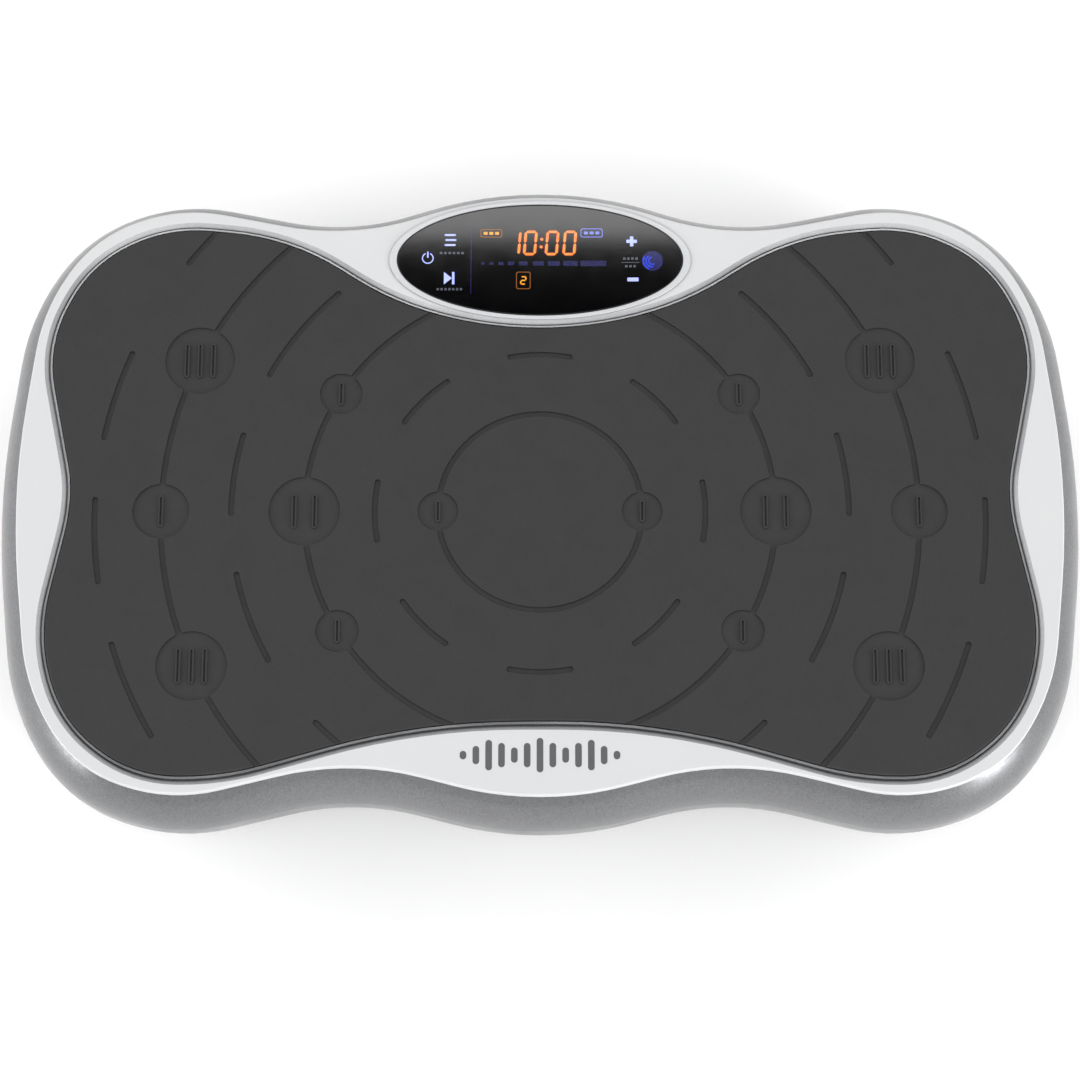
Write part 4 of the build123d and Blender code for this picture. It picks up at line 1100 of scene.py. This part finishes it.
@dataclass
class Mark:
    """A thin mark that lies on a surface: each outline becomes a closed plate.

    Attributes:
        name: Name of the piece.
        finish: What it is made of.
        fills: Outlines of its solid plates, in millimetres from its origin.
        frames: Pairs of outlines, outer and inner, with as many points as each other.
        thickness: How far it stands above the surface, in millimetres.
    """

    name: str
    finish: Finish
    fills: list[Outline] = field(default_factory=list)
    frames: list[tuple[Outline, Outline]] = field(default_factory=list)
    thickness: float = 0.06

    def build(self, origin: Vector, body: str, slot: str) -> bpy.types.Object:
        """Builds the mark.

        Args:
            origin: Where its coordinates start, on the surface, in metres.
            body: The body that it rides on.
            slot: A material slot of the record; not used.

        Returns:
            The new object.
        """
        mesh = bmesh.new()
        for outline in self.fills:
            low, high = (self.loop(mesh, outline, origin, z) for z in (0.0, self.thickness))
            mesh.faces.new(high)
            mesh.faces.new(low[::-1])
            self.wall(mesh, low, high)
        for outer, inner in self.frames:
            rings = [
                self.loop(mesh, line, origin, z)
                for line in (outer, inner)
                for z in (0.0, self.thickness)
            ]
            for first, second in ((0, 1), (1, 3), (3, 2), (2, 0)):
                self.wall(mesh, rings[first], rings[second])
        data = bpy.data.meshes.new(self.name)
        mesh.normal_update()
        bmesh.ops.recalc_face_normals(mesh, faces=mesh.faces)
        mesh.to_mesh(data)
        mesh.free()
        piece = bpy.data.objects.new(self.name, data)
        bpy.context.scene.collection.objects.link(piece)
        data.materials.append(self.finish.material())
        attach(piece, body)
        log.info("mark %s: %d plates", self.name, len(self.fills) + len(self.frames))
        return piece

    @staticmethod
    def loop(
        mesh: Shell, outline: Outline, origin: Vector, above: float
    ) -> list[Corner]:
        """Adds an outline's points at a height above the origin, in millimetres."""
        return [mesh.verts.new(origin + Vector((x, y, above)) * MM) for x, y in outline]

    @staticmethod
    def wall(
        mesh: Shell, low: list[Corner], high: list[Corner]
    ) -> None:
        """Joins two loops of points by a closed strip of faces."""
        for k in range(len(low)):
            mesh.faces.new((low[k - 1], low[k], high[k], high[k - 1]))


# ---------------- sub-assemblies
class SubAssembly:
    """Pieces that are made and fitted together."""

    wears: ClassVar[dict[Finish, tuple[str, ...]]] = {}

    def build(self) -> None:
        """Builds what this sub-assembly adds to the frame's own pieces."""

    def dress(self) -> None:
        """Gives each of its pieces its finish."""
        for finish, nodes in self.wears.items():
            for name in nodes:
                data = frame["nodes"][name].data
                data.materials.clear()
                data.materials.append(finish.material())
                data.polygons.foreach_set("material_index", [0] * len(data.polygons))
                log.info("%s wears %s", name, finish.name)


@dataclass
class PlatformSkin(SubAssembly):
    """Outer skin of the platform: painted skirt, white cover, rubber mat and an ornament.

    Attributes:
        ornament_y: Middle of the ornament, in millimetres from the frame's origin.
        ornament_pitch: Distance between its bars.
        ornament_bar: Width of a bar.
        ornament_heights: Heights of the bars, from its middle outwards.
        trim_reach: Furthest that the middle of a painted face lies from the mat, in millimetres.
        trim_depth: Lowest that it lies under the top of the cover.
        trim_step: Distance between the points that the mat's edges are followed by.
    """

    ornament_y: float = -134.5
    ornament_pitch: float = 6.2
    ornament_bar: float = 3.2
    ornament_heights: tuple[float, ...] = (17.0, 12.0, 7.5, 12.0, 15.0, 9.0, 4.2)
    trim_reach: float = 4.2
    trim_depth: float = 2.5
    trim_step: float = 2.0
    wears: ClassVar[dict[Finish, tuple[str, ...]]] = {
        SilverPaintedAbs(): ("side_skirt",),
        WhiteCoverAbs(): ("top_cover",),
        MatRubber(): ("foot_mat",),
    }

    def build(self) -> None:
        """Prints the ornament, a row of rounded bars like a wave, on the cover's front."""
        cover_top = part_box("top_cover")[1].z
        fills = []
        for k, height in enumerate(self.ornament_heights):
            for side in (-1, 1) if k else (1,):
                fills.append(
                    bar(
                        (side * k * self.ornament_pitch, 0.0),
                        (self.ornament_bar, height),
                        self.ornament_bar / 2 - 0.01,
                    )
                )
        mark = Mark("cover_ornament", PrintedInk(), fills, thickness=0.04)
        mark.build(Vector((0, self.ornament_y * MM, cover_top)), "platform", "grey_abs")

    def dress(self) -> None:
        """Gives the pieces their finishes, and paints the bead and slope round the mat."""
        super().dress()
        cover = frame["nodes"]["top_cover"].data
        cover.materials.append(SilverTrimPaint().material())
        beside_mat = self.mat_tree()
        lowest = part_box("top_cover")[1].z - self.trim_depth * MM
        for face in cover.polygons:
            place = face.center
            gap = beside_mat.find((place.x, place.y, 0.0))[2]
            if gap < self.trim_reach * MM and place.z > lowest:
                face.material_index = 1
        log.info("the bead and slope round the mat wear %s", SilverTrimPaint().name)

    def mat_tree(self) -> KDTree:
        """Points along every edge of the mat, no further apart than a step, seen from above.

        Returns:
            A balanced tree of the points, with a height of 0.
        """
        mat = frame["nodes"]["foot_mat"].data
        points: list[Vector] = []
        for edge in mat.edges:
            start, end = (mat.vertices[k].co for k in edge.vertices)
            pieces = max(1, math.ceil((end - start).length / (self.trim_step * MM)))
            points += [start.lerp(end, k / pieces) for k in range(pieces)]
        tree = KDTree(len(points))
        for k, point in enumerate(points):
            tree.insert((point.x, point.y, 0.0), k)
        tree.balance()
        return tree


@dataclass
class Display(SubAssembly):
    """Touch display: black lens in its bezel, the marks lit behind it and its board.

    Every place is in millimetres from the lens's middle.

    Attributes:
        digit_size: Width and height of a digit between its segments' middle lines.
        digit_pen: Width of a digit's segment.
        slant: How far the digits lean.
    """

    digit_size: Pair = (5.3, 12.0)
    digit_pen: float = 1.25
    slant: float = 0.08
    wears: ClassVar[dict[Finish, tuple[str, ...]]] = {
        BlackLensAcrylic(): ("display_lens",),
        BezelAbs(): ("display_bezel",),
        BlackAbs(): ("display_housing",),
        SolderMask(): ("display_pcb",),
        DigitModule(): ("digit_display",),
        LedResin(): ("indicator_leds",),
        SpringSteel(): ("touch_springs",),
        ZincSteel(): ("display_screws",),
    }

    def build(self) -> None:
        """Builds every lit or printed mark on the lens."""
        low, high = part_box("display_lens")
        origin = Vector(((low.x + high.x) / 2, (low.y + high.y) / 2, high.z))
        for mark in (*self.clock(), *self.signs(), *self.level(), *self.keys(), *self.captions()):
            mark.build(origin, "platform", "led")

    def clock(self) -> list[Mark]:
        """Digits of the timer, each over the faint halo that its lamp throws.

        Returns:
            The halo and the digits.
        """
        fills: list[Outline] = []
        halo: list[Outline] = []
        for symbol, x in (("1", -13.0), ("0", -4.9), ("0", 6.1), ("0", 15.0)):
            fills += digit(symbol, (x, 9.0), self.digit_size, self.digit_pen, self.slant)
            halo += digit(symbol, (x, 9.0), self.digit_size, self.digit_pen * 1.7, self.slant)
        for y in (6.9, 11.0):
            dot = (0.75 + self.slant * (y - 9.0), y)
            fills.append(bar(dot, (1.4, 1.4), 0.69))
            halo.append(bar(dot, (2.4, 2.4), 1.19))
        return [
            Mark("clock_halo", ORANGE_HALO, halo, thickness=0.03),
            Mark("clock_digits", ORANGE_LAMP, fills, thickness=0.07),
        ]

    def signs(self) -> list[Mark]:
        """Framed signs: the timer's, the unit's and the number of the programme.

        Returns:
            Each sign's frame and what stands in it.
        """
        amber, blue, chosen = (-24.6, 14.2), (26.1, 14.4), (-8.4, -11.1)
        dashes, blue_dashes = (
            [bar((middle[0] + x, middle[1]), (2.0, tall), 0.35) for x in (-2.9, 0.0, 2.9)]
            for middle, tall in ((amber, 1.5), (blue, 1.6))
        )
        number = digit("2", chosen, (2.4, 3.9), 0.7, self.slant)
        return [
            Mark("sign_timer_frame", AMBER_FRAME, frames=[self.ringed(amber, (11.0, 4.5), 0.4)]),
            Mark("sign_timer_dashes", AMBER_LAMP, dashes),
            Mark("sign_unit_frame", BLUE_SIGN, frames=[self.ringed(blue, (11.2, 4.8), 0.4)]),
            Mark("sign_unit_dashes", BLUE_SIGN, blue_dashes),
            Mark(
                "sign_programme_frame",
                AMBER_FRAME,
                frames=[self.ringed(chosen, (7.3, 9.3), 0.4)],
            ),
            Mark("sign_programme_number", AMBER_LAMP, number),
        ]

    @staticmethod
    def ringed(
        middle: Pair, size: Pair, pen: float
    ) -> tuple[Outline, Outline]:
        """Outer and inner outline of a rounded frame drawn with a pen of some width."""
        inner = (size[0] - 2 * pen, size[1] - 2 * pen)
        return bar(middle, size, 1.1), bar(middle, inner, 1.1 - pen / 2)

    def level(self) -> list[Mark]:
        """Row of unlit level bars that grow to the right, and the line at their left.

        Returns:
            The bars and the line.
        """
        starts = (-29.6, -25.4, -21.0, -16.2, -10.6, -3.6, 3.9, 11.6, 20.4)
        widths = (1.6, 2.0, 2.6, 3.2, 4.4, 5.6, 6.2, 7.4, 13.0)
        fills = [
            bar((start + width / 2, -2.0), (width, 1.3 + 0.2 * k), 0.2)
            for k, (start, width) in enumerate(zip(starts, widths))
        ]
        line = bar((-34.8, 0.5), (0.5, 38.0), 0.2)
        return [Mark("level_bars", UNLIT_BLUE, fills), Mark("level_line", UNLIT_BLUE, [line])]

    def keys(self) -> list[Mark]:
        """Touch keys: programme list, power, start and pause, more, less and the round key.

        Returns:
            The keys' signs.
        """
        power, play, more, less, round_key = (
            (-56.6, 0.8), (-46.0, -9.9), (46.3, 9.9), (46.8, -10.6), (56.7, -0.6),
        )
        menu = [
            bar((x, y), (5.6, 1.0), 0.45) for x, y in ((-45.4, 7.9), (-45.0, 10.6), (-45.4, 13.3))
        ]
        wing = (play[0] - 2.4, play[1])
        arrow = [(wing[0], wing[1] + 3.3), (wing[0], wing[1] - 3.3), (wing[0] + 4.0, wing[1])]
        facets = [
            arc_band(round_key, 1.9 + 1.35 * k, 0.8, 100 + 25 * k, 300 - 25 * k) for k in range(3)
        ]
        return [
            Mark("key_programme", BLUE_LAMP, menu),
            Mark(
                "key_power",
                BLUE_LAMP,
                [
                    arc_band(power, 2.7, 0.55, 115, 425),
                    bar((power[0], power[1] + 1.9), (0.7, 3.4), 0.3),
                ],
            ),
            Mark("key_start", BLUE_LAMP, [arrow, bar((play[0] + 2.3, play[1]), (1.2, 6.6), 0.2)]),
            Mark("key_more", BLUE_LAMP, [self.plus(more, 5.3, 1.7)]),
            Mark("key_less", BLUE_LAMP, [bar(less, (5.6, 2.0), 0.3)]),
            Mark("key_round", FAINT_BLUE, [bar(round_key, (10.6, 10.6), 5.29, 10)], thickness=0.03),
            Mark("key_round_arcs", DEEP_BLUE, facets),
        ]

    @staticmethod
    def plus(middle: Pair, size: float, pen: float) -> Outline:
        """Outline of a plus sign.

        Args:
            middle: Its middle, in millimetres.
            size: Length of its bars.
            pen: Width of its bars.

        Returns:
            Points round it.
        """
        s, p = size / 2, pen / 2
        corners = [
            (p, p), (p, s), (-p, s), (-p, p), (-s, p), (-s, -p),
            (-p, -p), (-p, -s), (p, -s), (p, -p), (s, -p), (s, p),
        ]
        return [(middle[0] + x, middle[1] + y) for x, y in corners]

    def captions(self) -> list[Mark]:
        """Dim rows of short dashes where captions stand beside the keys.

        Returns:
            One mark with every dash.
        """
        rows = (
            ((-44.5, 3.6), 13.0, 6),
            ((-45.6, -15.8), 13.6, 7),
            ((45.6, 0.6), 8.2, 4),
            ((45.6, -3.5), 6.2, 3),
        )
        fills: list[Outline] = []
        for (x, y), length, count in rows:
            step = length / count
            for k in range(count):
                fills.append(bar((x + (k - (count - 1) / 2) * step, y), (step * 0.62, 1.25), 0.25))
        fills.append(bar((45.6, -1.45), (9.0, 0.3), 0.12))
        return [Mark("captions", DimPrint(), fills, thickness=0.04)]


@dataclass
class Deck(SubAssembly):
    """Deck that carries the cover: plate, tube frame, pillow blocks and the link's clevis."""

    wears: ClassVar[dict[Finish, tuple[str, ...]]] = {
        PowderCoat(): ("deck_plate", "deck_frame", "link_clevis"),
        PaintedCasting(): ("front_pillow_block", "rear_pillow_block"),
        GroundSteel(): ("front_pivot_bearing", "rear_pivot_bearing", "link_pin"),
        ZincSteel(): ("skirt_screws", "frame_bolts"),
    }


@dataclass
class Drive(SubAssembly):
    """Eccentric drive: shaft, link, pulleys and belt."""

    wears: ClassVar[dict[Finish, tuple[str, ...]]] = {
        GroundSteel(): (
            "eccentric_shaft",
            "link_bearing",
            "front_shaft_bearing",
            "rear_shaft_bearing",
            "motor_shaft",
        ),
        TurnedAluminium(): ("driven_pulley",),
        TurnedAluminium("aluminium_turned_small", centre=(-140.0, 44.0, 52.0)): ("motor_pulley",),
        PaintedCasting(): ("link_rod", "front_shaft_housing", "rear_shaft_housing"),
        BeltRubber(): ("drive_belt",),
    }


@dataclass
class Motor(SubAssembly):
    """Motor: can with its end bell, magnets and armature, on a cradle and a bracket."""

    wears: ClassVar[dict[Finish, tuple[str, ...]]] = {
        ZincSteel(): ("motor_can", "motor_bracket"),
        BlackAbs(): ("motor_end_bell",),
        Ferrite(): ("motor_magnets",),
        CopperWinding(): ("motor_armature",),
        FootRubber(): ("motor_cradle",),
    }


@dataclass
class Base(SubAssembly):
    """Base that stands on the floor: tray, steel plate, pivot and rubber feet."""

    wears: ClassVar[dict[Finish, tuple[str, ...]]] = {
        TrayAbs(): ("base_tray",),
        ZincSteel(): ("base_plate", "base_screws", "foot_bolts", "board_standoffs"),
        PowderCoat(): ("front_pivot_bracket", "rear_pivot_bracket"),
        GroundSteel(): ("pivot_shaft",),
        SpringSteel(): ("shaft_clips",),
        FootRubber(): ("foot_front_left", "foot_front_right", "foot_rear_left", "foot_rear_right"),
    }


@dataclass
class Electronics(SubAssembly):
    """Control board, and the panel at the rear with the mains inlet and the switch."""

    wears: ClassVar[dict[Finish, tuple[str, ...]]] = {
        SolderMask(): ("control_board",),
        ExtrudedAluminium(): ("heat_sink",),
        ShrinkSleeve(): ("capacitors",),
        Ferrite(): ("line_choke",),
        BlackAbs(): ("power_inlet", "power_switch_housing", "power_switch_rocker"),
        NickelBrass(): ("inlet_pins",),
    }


# ---------------- studio
@dataclass(frozen=True)
class StudioPaper(Finish):
    """Matte white background paper: even, with a faint fibre."""

    # Fibres of the paper are about 1.5 mm long.
    name: str = "paper_white_matte"
    colour: str = "#FEFEFE"
    drift: str = "#FCFCFC"
    wear_highlight: str = "#FEFEFE"
    roughness: float = 0.9
    pitch: float = 1.5
    patch: float = 400.0
    wear: float = 0.0


@dataclass
class Softbox:
    """A rectangular studio light.

    Attributes:
        name: Its name.
        place: Its middle, in metres.
        aim: The point that it faces, in metres.
        size: Width and height, in metres.
        power: Watts.
    """

    name: str
    place: Triple
    aim: Triple
    size: Pair
    power: float

    def build(self) -> None:
        """Hangs the light and turns it to its aim; the camera doesn't see it."""
        data = bpy.data.lights.new(self.name, "AREA")
        data.shape = "RECTANGLE"
        data.size, data.size_y = self.size
        data.energy = self.power
        lamp = bpy.data.objects.new(self.name, data)
        lamp.location = self.place
        lamp.rotation_mode = "QUATERNION"
        facing = Vector(self.aim) - Vector(self.place)
        lamp.rotation_quaternion = facing.to_track_quat("-Z", "Y")
        lamp.visible_camera = False
        bpy.context.scene.collection.objects.link(lamp)


@dataclass
class Studio:
    """Pale floor, soft light and the camera, high in front of the plate.

    Attributes:
        focus: The mat's pattern centre, in metres.
        elevation: Angle of the camera above the mat, in degrees.
        distance: Distance from the camera to the focus, in metres.
        lens: Focal length for a 36 mm sensor.
        aim_low: How far toward the user the camera aims from the focus, in metres.
        world_level: Brightness of the sky at the horizon.
        zenith_level: Brightness of the sky overhead.
        dusk: Upward part of a direction where the sky starts to dim, and where it is dimmest.
    """

    focus: Triple = (0.0, -0.01175, 0.120)
    elevation: float = 73.552
    distance: float = 1.6127
    lens: float = 109.0
    aim_low: float = 0.0149
    world_level: float = 1.0
    zenith_level: float = 0.0
    dusk: Pair = (0.78, 0.92)
    lights: list[Softbox] = field(
        default_factory=lambda: [
            Softbox("softbox_top", (0.0, -0.9, 2.0), (0.0, 0.0, 0.1), (2.6, 1.1), 14.0),
            Softbox("strip_back", (0.0, 1.2, 2.376), (0.0, 0.1, 0.1), (2.4, 0.36), 14.0),
            Softbox("softbox_left", (-2.2, 0.3, 1.1), (0.0, 0.0, 0.05), (1.6, 1.6), 14.0),
            Softbox("softbox_right", (2.2, 0.3, 1.1), (0.0, 0.0, 0.05), (1.6, 1.6), 9.0),
            Softbox("corner_left", (-2.2, -1.2, 0.5), (-0.2, -0.1, 0.08), (1.0, 0.9), 22.0),
            Softbox("corner_right", (1.8, -1.5, 0.5), (0.2, -0.1, 0.08), (0.8, 0.8), 35.0),
        ]
    )

    def build(self) -> None:
        """Lays the floor, lights the studio and sets up the camera."""
        self.floor()
        self.world()
        for light in self.lights:
            light.build()
        self.camera()
        bpy.context.scene.view_settings.view_transform = "Standard"
        log.info("studio: floor, world, %d softboxes and camera", len(self.lights))

    def floor(self) -> None:
        """Lays a wide sheet of paper under the feet."""
        mesh = bmesh.new()
        bmesh.ops.create_grid(mesh, x_segments=8, y_segments=8, size=20.0)
        data = bpy.data.meshes.new("studio_floor")
        mesh.to_mesh(data)
        mesh.free()
        data.materials.append(StudioPaper().material())
        sheet = bpy.data.objects.new("studio_floor", data)
        bpy.context.scene.collection.objects.link(sheet)

    def world(self) -> None:
        """Makes a sky that is bright at the horizon and dim overhead."""
        world = bpy.data.worlds.new("studio_sky")
        bpy.context.scene.world = world
        world.use_nodes = True
        tree = world.node_tree
        tree.nodes.clear()
        place = add_node(tree, "ShaderNodeTexCoord").outputs["Generated"]
        height = add_node(tree, "ShaderNodeSeparateXYZ", {0: place}).outputs["Z"]
        level = add_node(
            tree,
            "ShaderNodeMapRange",
            {
                0: height,
                1: self.dusk[0],
                2: self.dusk[1],
                3: self.world_level,
                4: self.zenith_level,
            },
            interpolation_type="SMOOTHSTEP",
        )
        sky = add_node(
            tree, "ShaderNodeBackground", {"Color": linear("#FFFFFF"), "Strength": level.outputs[0]}
        )
        add_node(tree, "ShaderNodeOutputWorld", {"Surface": sky.outputs[0]})

    def camera(self) -> None:
        """Places the camera and aims it a little below the mat's middle."""
        data = bpy.data.cameras.new("studio_camera")
        data.lens = self.lens
        data.sensor_width = 36.0
        data.clip_start, data.clip_end = 0.05, 100.0
        eye = bpy.data.objects.new("studio_camera", data)
        tilt = math.radians(self.elevation)
        focus = Vector(self.focus)
        eye.location = focus + self.distance * Vector((0, -math.cos(tilt), math.sin(tilt)))
        facing = focus - Vector((0, self.aim_low, 0)) - eye.location
        eye.rotation_mode = "QUATERNION"
        eye.rotation_quaternion = facing.to_track_quat("-Z", "Y")
        bpy.context.scene.collection.objects.link(eye)
        bpy.context.scene.camera = eye


def main() -> None:
    """Builds and dresses every sub-assembly, then the studio."""
    logging.basicConfig(level=logging.INFO, format="%(name)s: %(message)s")
    for part in (PlatformSkin(), Display(), Deck(), Drive(), Motor(), Base(), Electronics()):
        part.build()
        part.dress()
        log.info("%s is built and dressed", type(part).__name__)
    Studio().build()
    bpy.context.view_layer.update()


if __name__ == "__main__":
    main()
